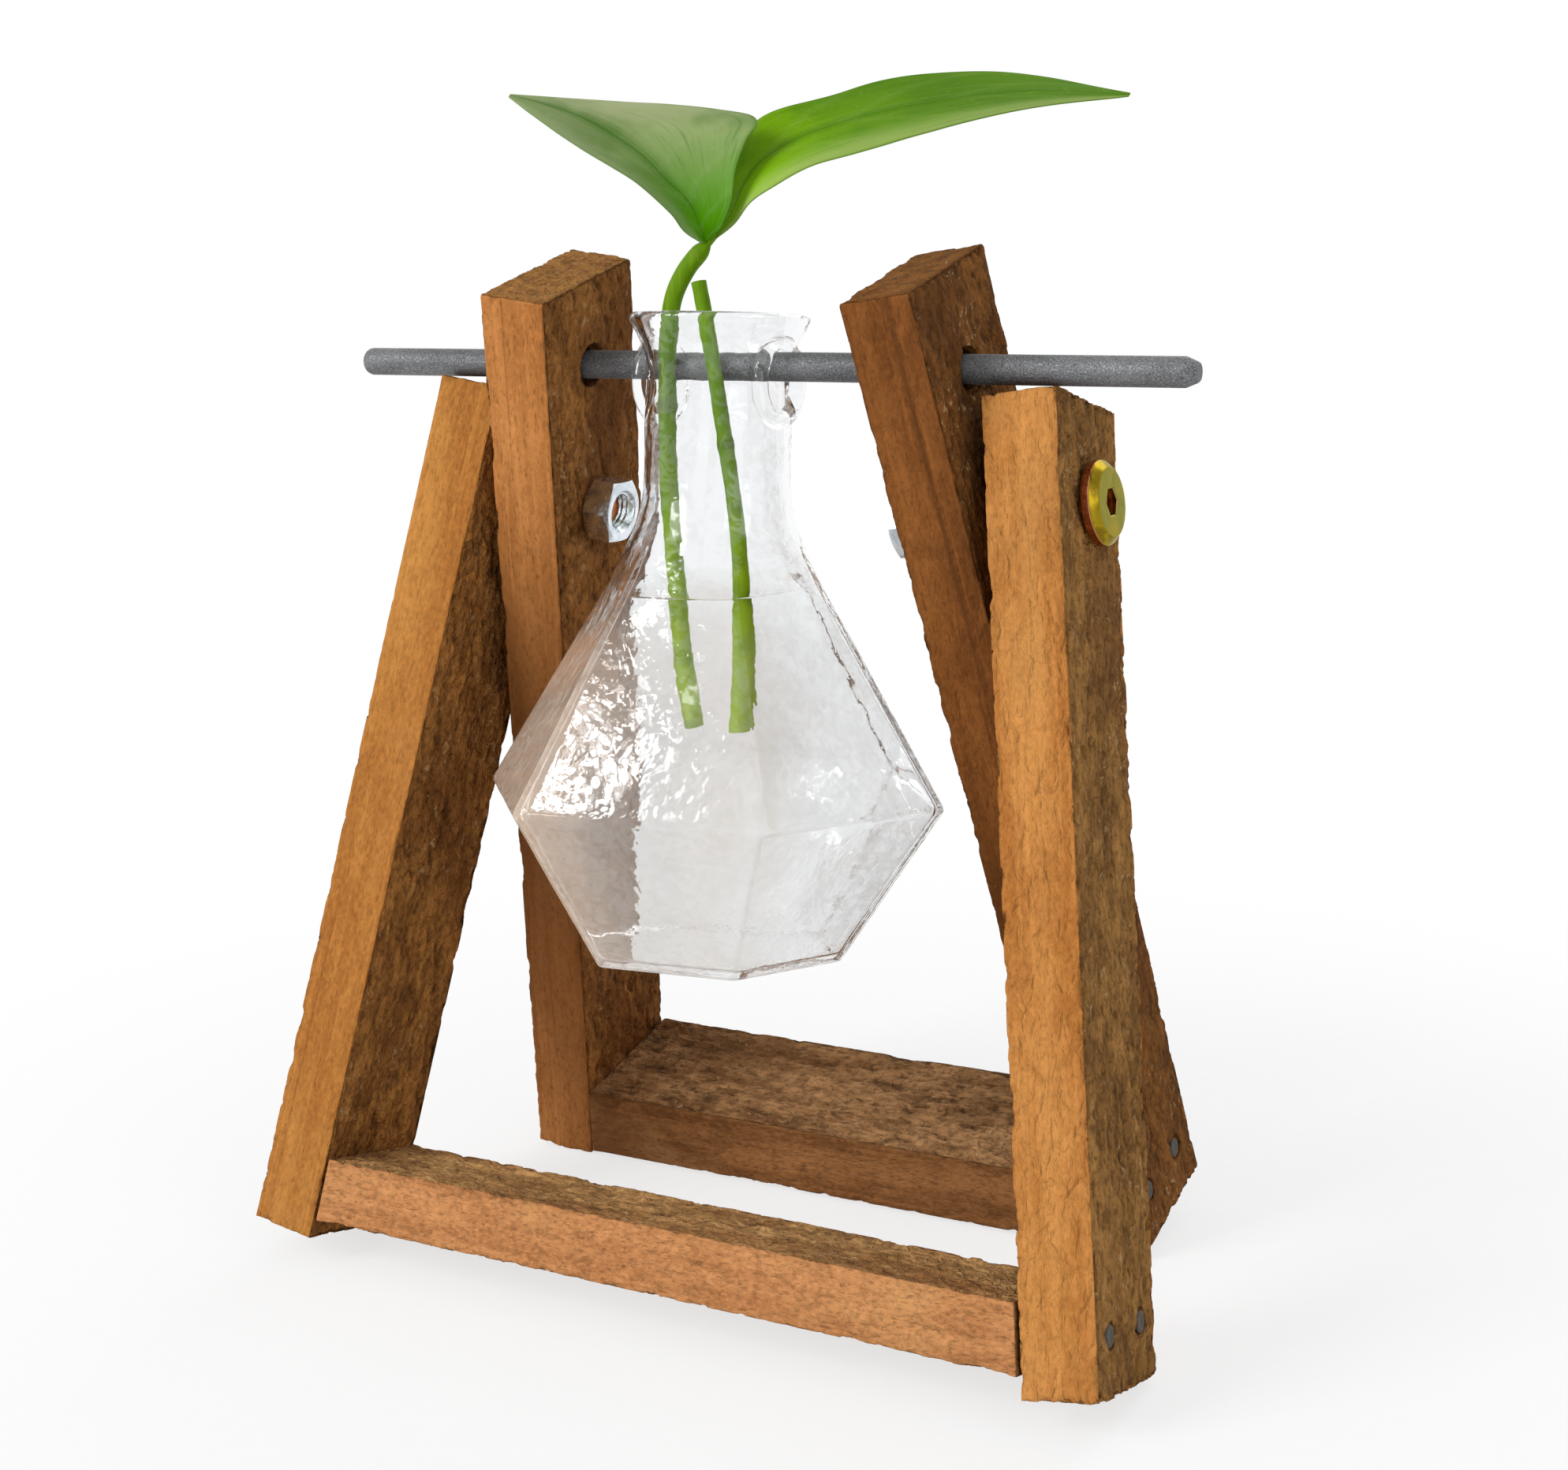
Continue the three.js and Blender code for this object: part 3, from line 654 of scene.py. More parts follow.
# amber_wood's narrow faces carry a painted shadow below mid-height, as the vase casts on the tall left
# leg.
amber_wood = sawn_look(
    "amber_wood", bright=tone(200, 134, 74), deep=tone(168, 106, 52), torn_light=tone(192, 128, 66),
    torn_dark=tone(106, 66, 30), end_tone=tone(176, 124, 66), stain=tone(120, 70, 36),
    sandy=0.15, crinkled=0.4, specked=0.35, painted_shadow=(0.11, 0.19, 0.7, tone(112, 70, 34)))
orange_wood = sawn_look(
    "orange_wood", bright=tone(190, 130, 63), deep=tone(164, 103, 44), torn_light=tone(194, 134, 70),
    torn_dark=tone(102, 63, 29), end_tone=tone(160, 108, 56), stain=tone(110, 64, 30),
    sandy=0.2, crinkled=0.55, specked=0.25)
olive_wood = sawn_look(
    "olive_wood", bright=tone(210, 144, 76), deep=tone(180, 114, 52), torn_light=tone(182, 132, 72),
    torn_dark=tone(96, 64, 31), end_tone=tone(150, 102, 52), stain=tone(104, 62, 34),
    sandy=0.15, crinkled=1.8, specked=0.1)
brown_wood = sawn_look(
    "brown_wood", bright=tone(144, 88, 40), deep=tone(110, 64, 26), torn_light=tone(148, 96, 46),
    torn_dark=tone(74, 45, 20), end_tone=tone(146, 94, 42), stain=tone(92, 50, 22),
    sandy=0.15, crinkled=0.7, specked=0.3)
pink_wood = sawn_look(
    "pink_wood", bright=tone(204, 142, 90), deep=tone(176, 116, 70), torn_light=tone(216, 166, 106),
    torn_dark=tone(112, 76, 42), end_tone=tone(150, 104, 58), stain=tone(150, 94, 50),
    sandy=0.35, crinkled=1.1, specked=0.3)
dull_wood = sawn_look(
    "dull_wood", bright=tone(162, 112, 67), deep=tone(116, 74, 38), torn_light=tone(212, 160, 108),
    torn_dark=tone(98, 60, 27), end_tone=tone(134, 90, 46), stain=tone(112, 68, 32),
    sandy=0.25, crinkled=0.8, specked=0.4)
saw("tall_left_leg", "tall_frame", amber_wood, 1)
saw("tall_right_leg", "tall_frame", brown_wood, 2)
saw("short_left_leg", "short_frame", orange_wood, 3, torn=1.2)
saw("short_right_leg", "short_frame", olive_wood, 4, torn=1.1, chip=1.4)
saw("rear_crossbar", "tall_frame", dull_wood, 5, end=0.0, splay=7.6)
saw("front_crossbar", "short_frame", pink_wood, 6,
    torn=1.2, end=0.0, chip=1.2, splay=8.1)


# Hanger rod, bolts, nuts and nails

def round_ring(radius, height, around=72):
    """Ring about Z. The radius is a number or a function of the angle, and the height too."""
    ring = []
    for turn in np.arange(around) * 2 * math.pi / around:
        r = radius(turn) if callable(radius) else radius
        h = height(turn) if callable(height) else height
        ring.append((r * math.cos(turn), r * math.sin(turn), h))
    return ring


def hexagon(flats, corner):
    """Radius of a hexagon by angle, from its width across flats and the angle of a corner."""
    return lambda turn: flats / 2 / math.cos((turn - corner) % (math.pi / 3) - math.pi / 6)


def screw_thread(crest, depth, height):
    """Radius of a thread by angle at a height."""
    pitches = height / thread_pitch
    return lambda turn: crest - depth * abs(2 * ((pitches - turn / 2 / math.pi) % 1.0) - 1)


def axis_frame(node, guess, axis=None):
    """Frame on a turned solid's axis, its two ends along it, the angle of a far corner, and the axis."""
    mesh = frame["nodes"][node].data
    if axis is None:
        axis = np.zeros(3)
        for polygon in mesh.polygons:
            share = np.array(polygon.normal) @ guess
            if abs(share) > 0.95:
                axis += np.array(polygon.normal) * math.copysign(polygon.area, share)
        axis /= np.linalg.norm(axis)
    turn = Vector(axis).to_track_quat("Z", "Y").to_matrix().to_4x4()
    local = points_of(mesh) @ np.array(turn.to_3x3()) / mm
    middle = (local.min(0) + local.max(0)) / 2
    middle[2] = 0
    turn.translation = turn.to_3x3() @ Vector(middle) * mm
    spread = local - middle
    far = spread[np.argmax(np.hypot(spread[:, 0], spread[:, 1]))]
    return turn, local[:, 2].min(), local[:, 2].max(), math.atan2(far[1], far[0]), axis


def rod_look():
    look = Look("dark_steel")
    place = look.place()
    grit = look.noise(place, 2800, 3, 0.7)
    cloud = look.noise(look.stretched(place, 0.3, 1, 1), 180, 3, 0.6)
    base = look.layers(
        tone(96, 97, 99), (tone(118, 119, 121), 1.0, cloud, 0.35, 0.68),
        (tone(186, 187, 188), 0.55, grit, 0.53, 0.68), (tone(52, 53, 55), 0.8, grit, 0.47, 0.34))
    return look.finish({
        "Base Color": base, "Metallic": 0.4, "Roughness": look.step(grit, 0.3, 0.7, 0.66, 0.52),
        "Normal": look.bump(grit, 0.00015, 0.4)})


def make_rod():
    low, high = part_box("hanger_rod")
    half = (high.x - low.x) / mm / 2
    depth, length = rod_bevel
    profile = [(rod_radius - rod_round + rod_round * math.sin(a), -half + rod_round * (1 - math.cos(a)))
               for a in np.linspace(0, math.pi / 2, 9)]
    profile += [(rod_radius, h) for h in np.linspace(-half + 3, half - length - 1, 70)]
    profile += [(rod_radius, half - length - 0.15), (rod_radius - 0.08, half - length + 0.2),
                (rod_radius - depth + 0.1, half - 0.2), (rod_radius - depth - 0.1, half)]
    turn = Vector((1, 0, 0)).to_track_quat("Z", "Y").to_matrix().to_4x4()
    turn.translation = (low + high) / 2
    mesh = lofted("rod", [placed(round_ring(r, h, 48), turn) for r, h in profile])
    dressed("hanger_rod_bar", mesh, rod_look(), "rod", ["hanger_rod"], 40)


def plated_look(name, yellow):
    """Zinc plating, bright or passivated to yellow that changes with the bolt head's zones, with painted
    reflections.
    """
    look = Look(name)
    place = look.place()
    cloud = look.noise(place, 260, 3, 0.55, 0.8)
    fine = look.noise(place, 1500, 3, 0.6)
    if yellow:
        # Yellow and olive are the chromate's own tint; the copper and pink at the side and in the socket
        # are painted reflections.
        zone = look.attribute("zone") + (cloud - 0.5) * 0.5
        base = look.ramp(
            zone, (0.0, tone(132, 96, 36)), (0.2, tone(206, 132, 98)), (0.34, tone(112, 92, 20)),
            (0.5, tone(160, 136, 30)), (0.66, tone(134, 124, 46)), (0.8, tone(104, 114, 56)),
            (1.0, tone(176, 118, 74)))
        edge = (0.94, 0.9, 0.62, 1)
        roughness = look.step(fine, 0.3, 0.7, 0.16, 0.3)
    else:
        edge = (1, 1, 1, 1)
        base = look.layers(tone(208, 216, 224), (tone(234, 240, 245), 1.0, cloud, 0.3, 0.7))
        roughness = look.step(fine, 0.3, 0.7, 0.14, 0.28)
    return look.finish({
        "Base Color": base, "Metallic": 1.0, "Roughness": roughness, "Specular Tint": edge,
        "Normal": look.bump(fine, 0.00002, 0.12)})


def make_bolt(side, outside, look):
    """Bolt with a bevelled head, whose side, bevel, face and socket are zones of its plating."""
    node = side + "_pivot_bolt"
    turn, low, high, _, axis = axis_frame(node, np.array((outside, 0, 0)))
    radius, tall = bolt_head
    seat = high - tall
    rings = [round_ring(0.3, low), round_ring(bolt_thread - 0.65, low),
             round_ring(bolt_thread - 0.55, low + 0.2)]
    for height in np.arange(low + 0.5, low + 6.0, 0.15):
        rings.append(round_ring(screw_thread(bolt_thread, 0.55, height), height))
    for r, h in ((bolt_radius - 0.01, low + 6.6), (bolt_radius - 0.01, seat), (radius - 0.4, seat),
                 (radius - 0.08, seat + 0.15), (radius, seat + 0.4), (radius, seat + 0.6),
                 (radius, seat + 1.6), (radius, seat + 1.75), (radius - 0.1, seat + 1.95),
                 (radius - 0.25, seat + 2.1), (radius - 1.45, high - 0.17), (radius - 1.6, high - 0.05),
                 (radius - 1.8, high), (radius - 2.0, high), (socket_flats * 0.72, high),
                 (socket_flats * 0.68, high)):
        rings.append(round_ring(r, h))
    for flats, h in ((socket_flats + 0.5, high - 0.02), (socket_flats + 0.06, high - 0.25),
                     (socket_flats, high - socket_depth), (socket_flats * 0.6, high - socket_depth - 0.5),
                     (0.4, high - socket_depth - 0.6)):
        rings.append(round_ring(hexagon(flats, 0), h))
    mesh = lofted(node, [placed(ring, turn) for ring in rings])
    local = (points_of(mesh) - np.array(turn.translation)) @ np.array(turn.to_3x3()) / mm
    reach = np.hypot(local[:, 0], local[:, 1])
    zones = np.select([local[:, 2] < seat + 1.85, reach > radius - 1.65, local[:, 2] < high - 0.1],
                      [0.16, 0.42, 1.0], 0.7)
    mesh.attributes.new("zone", "FLOAT", "POINT").data.foreach_set("value", zones)
    dressed(node + "_plated", mesh, look, "tall_frame", [node], 35)
    return axis


def make_nut(side, axis, look):
    node = side + "_pivot_nut"
    turn, low, high, corner, _ = axis_frame(node, axis, axis)
    bore = bolt_thread + 0.35
    shape = hexagon(nut_flats, corner)
    slope = math.tan(math.radians(30))

    def flats(edge, drop):
        return round_ring(shape, lambda t: edge + math.copysign(
            max(shape(t) - nut_face, 0.0) * slope + abs(drop), drop), 96)

    rings = [round_ring(screw_thread(bore + 0.5, 0.5, h), h, 96)
             for h in np.arange(high - 0.5, low + 0.9, -0.16)]
    for r, h in ((bore + 0.5, low + 0.8), (bore + 0.95, low + 0.12), (bore + 1.15, low),
                 (nut_face - 0.35, low), (nut_face - 0.05, low + 0.03)):
        rings.append(round_ring(r, h, 96))
    rings += [flats(low, 0.05), flats(low, 0.3), flats(high, -0.3), flats(high, -0.05)]
    for r, h in ((nut_face - 0.05, high - 0.03), (nut_face - 0.35, high), (bore + 1.0, high),
                 (bore + 0.5, high - 0.3)):
        rings.append(round_ring(r, h, 96))
    rings.append(rings[0])
    mesh = lofted(node, [placed(ring, turn) for ring in rings], capped=False)
    dressed(node + "_plated", mesh, look, "tall_frame", [node], 25)


def nail_look():
    look = Look("nail_steel")
    rust = look.noise(look.place(), 700, 4, 0.65)
    base = look.ramp(
        look.step(rust, 0.35, 0.7), (0.0, tone(58, 54, 50)), (0.6, tone(84, 78, 72)),
        (1.0, tone(96, 62, 40)))
    return look.finish({
        "Base Color": base, "Metallic": 0.7, "Roughness": look.step(rust, 0.3, 0.7, 0.45, 0.75),
        "Normal": look.bump(rust, 0.00012, 0.5)})


def nail_rule():
    """One nail on each point, its head along that point's way."""
    tree, nodes, given = geometry_rule("driven_nails", {
        "Nail": "Object", "Size": "Float", "Steel": "Material"})
    way = nodes.node("GeometryNodeInputNamedAttribute", {"data_type": "FLOAT_VECTOR"}, {"Name": "way"})
    turn = nodes.node("FunctionNodeAlignRotationToVector", {"axis": "Z"}, {"Vector": way})
    nail = nodes.node("GeometryNodeObjectInfo", {}, {
        "Object": given["Nail"], "As Instance": True}, "Geometry")
    shape = nodes.node("GeometryNodeInstanceOnPoints", {}, {
        "Points": given["Geometry"], "Instance": nail, "Rotation": turn, "Scale": given["Size"]})
    end_rule(nodes, shape, given["Steel"])
    return tree


def make_nails():
    radius, tall = nail_head
    profile = [(0.08, -nail_length), (nail_radius, -nail_length + 3), (nail_radius, -tall - 0.6),
               (nail_radius + 0.3, -tall - 0.1), (radius - 0.1, -tall), (radius, -tall + 0.12),
               (radius, -0.25), (radius - 0.15, -0.08), (radius - 0.5, 0.0), (1.2, -0.05), (0.9, -0.12),
               (0.3, -0.12)]
    nail = loose("nail", lofted("nail", [np.array(round_ring(r, h, 20)) * mm for r, h in profile]))
    look = nail_look()
    rule = nail_rule()
    for frame_word, body in (("rear", "tall_frame"), ("front", "short_frame")):
        nodes = [f"{frame_word}_{side}_{place}_nail"
                 for side in ("left", "right") for place in ("front", "back")]
        heads, ways = [], []
        for node in nodes:
            outside = np.array((-1 if "_left_" in node else 1, 0, 0))
            turn, _, high, _, axis = axis_frame(node, outside)
            heads.append(turn @ Vector((0, 0, high * mm)))
            ways.append(axis)
        mesh = mesh_of(frame_word + "_nails", heads, [])
        way = mesh.attributes.new("way", "FLOAT_VECTOR", "POINT")
        way.data.foreach_set("vector", np.concatenate(ways))
        row = loose(frame_word + "_nail_places", mesh)
        follow_rule(row, rule, {"Nail": nail, "Size": 1.0, "Steel": look})
        dressed(frame_word + "_nails", outward(evaluated(row)), look, body, nodes, 40)
    bpy.data.objects.remove(nail)


make_rod()
yellow_plating = plated_look("yellow_plating", True)
bright_plating = plated_look("bright_plating", False)
for side, outside in (("left", -1), ("right", 1)):
    make_nut(side, make_bolt(side, outside, yellow_plating), bright_plating)
make_nails()


# Glass vase and water

def rounded(points, radius, spacing):
    """Path through points with its corners rounded, in even short steps."""
    points = [np.asarray(p, float) for p in points]
    path = [points[0]]
    for before, corner, after in zip(points, points[1:], points[2:]):
        back, on = before - corner, after - corner
        cut = min(radius, 0.4 * np.linalg.norm(back), 0.4 * np.linalg.norm(on))
        start = corner + back / np.linalg.norm(back) * cut
        stop = corner + on / np.linalg.norm(on) * cut
        path += [start * (1 - t) ** 2 + corner * 2 * t * (1 - t) + stop * t * t
                 for t in np.linspace(0, 1, 7)]
    path.append(points[-1])
    made = [path[0]]
    for one, other in zip(path, path[1:]):
        count = max(1, math.ceil(np.linalg.norm(other - one) / spacing))
        made += [one + (other - one) * k / count for k in range(1, count + 1)]
    return np.array(made)


def inset(path, depths):
    """Path moved sideways, to its left, by a depth at each point."""
    way = np.gradient(path, axis=0)
    way /= np.linalg.norm(way, axis=1)[:, None]
    return path + np.asarray(depths)[:, None] * np.stack([-way[:, 1], way[:, 0]], 1)


neck_curve = spline(shoulder, 80)
outer_path = np.concatenate([
    rounded([(0.6, -base_drop), (base_corner, -base_drop), girdle, shoulder[0]], 1.0, 1.7),
    neck_curve[1:]])
inner_curve = inset(neck_curve, np.interp(neck_curve[:, 1], *blown_wall))
inner_path = np.concatenate([
    rounded([(0.6, inner_floor[1]), inner_floor, inner_girdle, inner_curve[0]], 1.2, 1.7),
    inner_curve[1:]])


def vase_ring(radius, height, sway, around=192):
    """Ring of the vase: round at the neck, six-sided below the shoulder, a little wavy."""
    six = eased(-height, *hexagon_heights)
    ring = []
    for turn in np.arange(around) * 2 * math.pi / around:
        flat = turn - hexagon_twist - math.pi / 6
        wide = sum(abs(math.cos(flat - k * math.pi / 3)) ** hexagon_power for k in range(3))
        side = math.cos(math.pi / 6) / wide ** (1 / hexagon_power)
        r = radius * (1 + six * (side - 1))
        spot = Vector((r * math.cos(turn), r * math.sin(turn), height))
        ripple = noise.noise(spot * 0.075 + Vector((3.1, 7.7, 1.3))) + 0.5 * noise.noise(spot * 0.16)
        r += sway * ripple * min(1.0, radius / 12)
        ring.append((r * math.cos(turn), r * math.sin(turn), height))
    return ring


def boolean(made, tool, operation):
    modifier = made.modifiers.new(operation, "BOOLEAN")
    modifier.operation = operation
    modifier.solver = "EXACT"
    modifier.object = tool
    mesh = evaluated(made)
    bpy.data.objects.remove(tool)
    return loose("vase", mesh)


def sideways(points, x):
    """Points about Z, turned about the rod's way at an eye's place, in millimetres."""
    points = np.asarray(points, float)
    return np.stack([points[:, 2] + x, points[:, 0], points[:, 1] + eye_place[1]], 1) * mm


def glass_look():
    """Wavy glass that shines in broken glints, under a thin film whose warm left side is a painted view
    of the wood behind.
    """
    look = Look("clear_glass")
    place = look.place()
    ripple = look.noise(place, 85, 2, 0.5)
    seed = look.noise(place, 300, 2, 0.5)
    clear = look.node("ShaderNodeBsdfPrincipled", {}, {
        "Base Color": (0.952, 0.96, 0.966, 1), "Roughness": 0.0, "IOR": glass_index,
        "Transmission Weight": 1.0, "Normal": look.bump(ripple + seed * 0.24, 0.0008, 0.5)})
    wavy = look.bump(look.noise(place, 90, 4, 0.55, 0.6), 0.0004, 0.6)
    shine = look.node("ShaderNodeBsdfGlossy", {}, {
        "Color": (1, 1, 1, 1), "Roughness": 0.0, "Normal": wavy})
    inside = look.node("ShaderNodeNewGeometry", {}, {}, "Backfacing")
    glints = look.step(look.noise(place, 300, 4, 0.6, 1.4), 0.45, 0.52, 0.05, 1.6)
    gloss = look.node("ShaderNodeFresnel", {}, {"IOR": shine_index}) * glints * (1 - inside)
    blown = look.blend(gloss, clear, shine)
    aside, _, height = look.parts(place)
    # Painted view of the wood behind the glass: to the left the film turns warm brown and covers more.
    painted_wood_view = look.step(aside, 0.004, -0.022)
    film = look.node("ShaderNodeBsdfPrincipled", {}, {
        "Base Color": look.mix(painted_wood_view, (0.93, 0.94, 0.95, 1), (0.98, 0.78, 0.61, 1)), "Roughness": 0.9,
        "Specular IOR Level": 0.0})
    cloudy = look.step(look.noise(place, 60, 4, 0.6), 0.3, 0.7, 0.02, 0.08) + painted_wood_view * 0.18
    cover = look.step(height, 0.155, 0.125) * cloudy
    return look.output(look.blend(cover, blown, film))


def make_vase():
    start, stop = outer_path[-1], inner_path[-1]
    way = outer_path[-1] - outer_path[-2]
    way *= np.linalg.norm(stop - start) / 2 / np.linalg.norm(way)
    lip = [(start + stop) / 2 + (start - stop) / 2 * math.cos(a) + way * math.sin(a)
           for a in np.linspace(0, math.pi, 12)[1:-1]]
    rings = [vase_ring(r, h, outer_ripple) for r, h in outer_path]
    rings += [vase_ring(r, h, 0.0) for r, h in lip]
    rings += [vase_ring(r, h, inner_ripple) for r, h in inner_path[::-1]]
    vase = loose("vase", lofted("vase", np.array(rings) * mm))
    major, minor = eye_ring
    for x in (-eye_place[0], eye_place[0]):
        bore = [sideways(round_ring(major - 0.5, h, 64), x) for h in (-6, 6)]
        vase = boolean(vase, loose("bore", lofted("bore", bore)), "DIFFERENCE")
        rim = [sideways(round_ring(major + minor * math.cos(a), minor * math.sin(a), 72), x)
               for a in np.linspace(0, 2 * math.pi, 25)]
        vase = boolean(vase, loose("eye", lofted("eye", rim, capped=False)), "UNION")
    mesh = vase.data
    bpy.data.objects.remove(vase)
    mesh.transform(hanging)
    dressed("glass_vase_clear", mesh, glass_look(), "vase", ["glass_vase"], 50)


def water_look():
    look = Look("clear_water")
    ripple = look.noise(look.place(), 60, 2, 0.5)
    return look.finish({
        "Base Color": (0.985, 0.99, 0.985, 1), "Roughness": 0.0, "IOR": water_index,
        "Transmission Weight": 1.0,
        "Normal": look.bump(ripple, 0.0005, 0.3)})


def make_water():
    """Water close inside the glass, level in the stand's frame, drawn up a little at its rim."""
    path = inner_path[inner_path[:, 1] < water_reach]
    path = inset(path, np.full(len(path), water_gap))
    mesh = lofted("water", np.array([vase_ring(r, h, inner_ripple) for r, h in path]) * mm)
    up = hanging.to_3x3().inverted() @ Vector((0, 0, 1))
    level = hanging.inverted() @ Vector((0, 0, (water_level + meniscus_rise) * mm))
    shape = bmesh.new()
    shape.from_mesh(mesh)
    bmesh.ops.bisect_plane(shape, geom=[*shape.verts, *shape.edges, *shape.faces],
                           plane_co=level, plane_no=up, clear_outer=True)
    rim = sorted({v for e in shape.edges if e.is_boundary for v in e.verts},
                 key=lambda v: math.atan2(v.co.y, v.co.x))
    middle = sum((v.co for v in rim), Vector()) / len(rim)
    ring = rim
    for share in (0.985, 0.96, 0.92, 0.86, 0.76, 0.6, 0.4, 0.2):
        inside = []
        for v in rim:
            spot = middle + (v.co - middle) * share
            away = (v.co - spot).length / (meniscus_width * mm)
            inside.append(shape.verts.new(spot - up * (meniscus_fall * mm * (1 - math.exp(-away)))))
        for one, other, far, near in zip(ring, ring[1:] + ring[:1], inside[1:] + inside[:1], inside):
            shape.faces.new((one, other, far, near))
        ring = inside
    heart = shape.verts.new(middle - up * (meniscus_fall * mm))
    for one, other in zip(ring, ring[1:] + ring[:1]):
        shape.faces.new((one, other, heart))
    bmesh.ops.recalc_face_normals(shape, faces=shape.faces)
    shape.to_mesh(mesh)
    shape.free()
    mesh.transform(hanging)
    dressed("vase_water", mesh, water_look(), "vase", [], 60)


make_vase()
make_water()


# Stems and leaves

def stem_path(radius, rise, places):
    """Path of a stem in the vase's frame, from its sideways and height shares."""
    front = -(rod_radius + seat_gap + radius)
    room = neck_radius - glass_wall - seat_gap - radius
    reach = math.sqrt(room * room - front * front)
    return spline([(aside * reach, front, level * (rise if level > 0 else stem_depth))
                   for aside, level in places], 160)


def stem_rule():
    """Stem along a path, swollen at its joints."""
    tree, nodes, given = geometry_rule("stem", {
        "Radius": "Float", "Joint Place": "Float", "Foot Swell": "Float", "Top Share": "Float",
        "Seed": "Float", "Green": "Material"})
    curve = nodes.node("GeometryNodeMeshToCurve", {}, {"Mesh": given["Geometry"]})
    curve = nodes.node("GeometryNodeResampleCurve", {}, {"Curve": curve, "Count": 180})
    run = nodes.outputs("GeometryNodeSplineParameter")
    lumps = nodes.node("ShaderNodeTexNoise", {"noise_dimensions": "1D"}, {
        "W": run["Factor"] * 14 + given["Seed"], "Scale": 1.0, "Detail": 2.0})
    joint = nodes.step(abs(run["Factor"] - given["Joint Place"]), 0.0, 0.022, 1.0, 0.0)
    foot = nodes.step(run["Factor"], 0.6, 1.0) * given["Foot Swell"]
    top = given["Top Share"].most(nodes.step(run["Factor"], 0.0, 0.05))
    wide = given["Radius"] * (1.0 + (lumps - 0.5) * 0.14 + joint * 0.14 + foot) * top
    curve = nodes.stored(curve, "along", run["Factor"])
    curve = nodes.stored(curve, "joint", joint)
    round_profile = nodes.node("GeometryNodeCurvePrimitiveCircle", {}, {"Resolution": 24, "Radius": 1.0})
    shape = nodes.node("GeometryNodeCurveToMesh", {}, {
        "Curve": curve, "Profile Curve": round_profile, "Scale": wide, "Fill Caps": True})
    end_rule(nodes, shape, given["Green"])
    return tree


def stem_look():
    look = Look("stem_green")
    place = look.place()
    along = look.attribute("along")
    joint = look.attribute("joint")
    fibre = look.noise(look.stretched(place, 1, 1, 0.06), 900, 3, 0.6)
    cloud = look.noise(place, 130, 3, 0.55)
    base = look.ramp(along, (0.0, tone(96, 138, 0)), (0.35, tone(92, 130, 0)), (0.6, tone(118, 152, 0)),
                     (1.0, tone(158, 182, 0)))
    base = look.layers(
        base, (tone(150, 174, 50), 0.25, fibre, 0.42, 0.66), (tone(74, 108, 4), 0.5, cloud, 0.48, 0.7))
    base = look.mix(joint * 0.55, base, tone(72, 92, 24))
    return look.finish({
        "Base Color": base, "Roughness": look.step(fibre, 0.3, 0.7, 0.4, 0.56),
        "Normal": look.bump(fibre, 0.0002, 0.4), "Specular IOR Level": 0.1})


def make_stem(name, radius, path, joint, foot, top, seed, rule, look):
    points = placed(path, hanging)
    line = mesh_of(name + "_path", points, [], [(i, i + 1) for i in range(len(points) - 1)])
    made = loose(name + "_path", line)
    follow_rule(made, rule, {
        "Radius": radius * mm, "Joint Place": joint, "Foot Swell": foot, "Top Share": top,
        "Seed": seed, "Green": look})
    dressed(name + "_cut", outward(evaluated(made)), look, "plant", [name], 50)


def leaf_look(name, base, deep, pale_and_sheen, tip, sheen):
    """Leaf blade read on its own map: U from base to tip, V from the near margin to the far one."""
    look = Look(name)
    blade = look.node("ShaderNodeUVMap", {"uv_map": "blade"})
    run, across, _ = look.parts(blade)
    place = look.place()
    off = abs(across - 0.5) * 2
    rib = look.step(off, 0.0, 0.045, 1.0, 0.0)
    veins = ((run * 34 - off * 9).sine() * 0.5 + 0.5) ** 8
    threads = look.noise(look.stretched(blade, 3, 46, 1), 1.0, 4, 0.6)
    mottle = look.noise(place, 480, 4, 0.65)
    cloud = look.noise(place, 55, 3, 0.55)
    # Painted shade: the blade darkens in the crease beside the midrib.
    # Painted sheen: by its share sheen, the blade pales along its near margin.
    colour = look.layers(
        base, (tip, 1.0, run, 0.12, 0.85), (deep, 0.45, cloud, 0.42, 0.66), (deep, 0.4, off, 0.2, 0.02),
        (pale_and_sheen, sheen, across, 0.32, 0.04), (pale_and_sheen, 0.2, threads, 0.54, 0.74),
        (deep, 0.4, threads, 0.46, 0.28), (pale_and_sheen, 0.12, mottle, 0.54, 0.72))
    colour = look.mix(veins * 0.06, colour, pale_and_sheen)
    colour = look.mix(rib * 0.5, colour, deep)
    colour = look.layers(colour, (deep, 0.5, off, 0.96, 1.0))
    height = veins * 0.3 + rib * 0.6 + mottle * 0.3 + threads * 0.3
    return look.finish({
        "Base Color": colour, "Roughness": look.step(mottle, 0.3, 0.7, 0.5, 0.62),
        "Normal": look.bump(height, 0.0003, 0.5), "Specular IOR Level": 0.03})


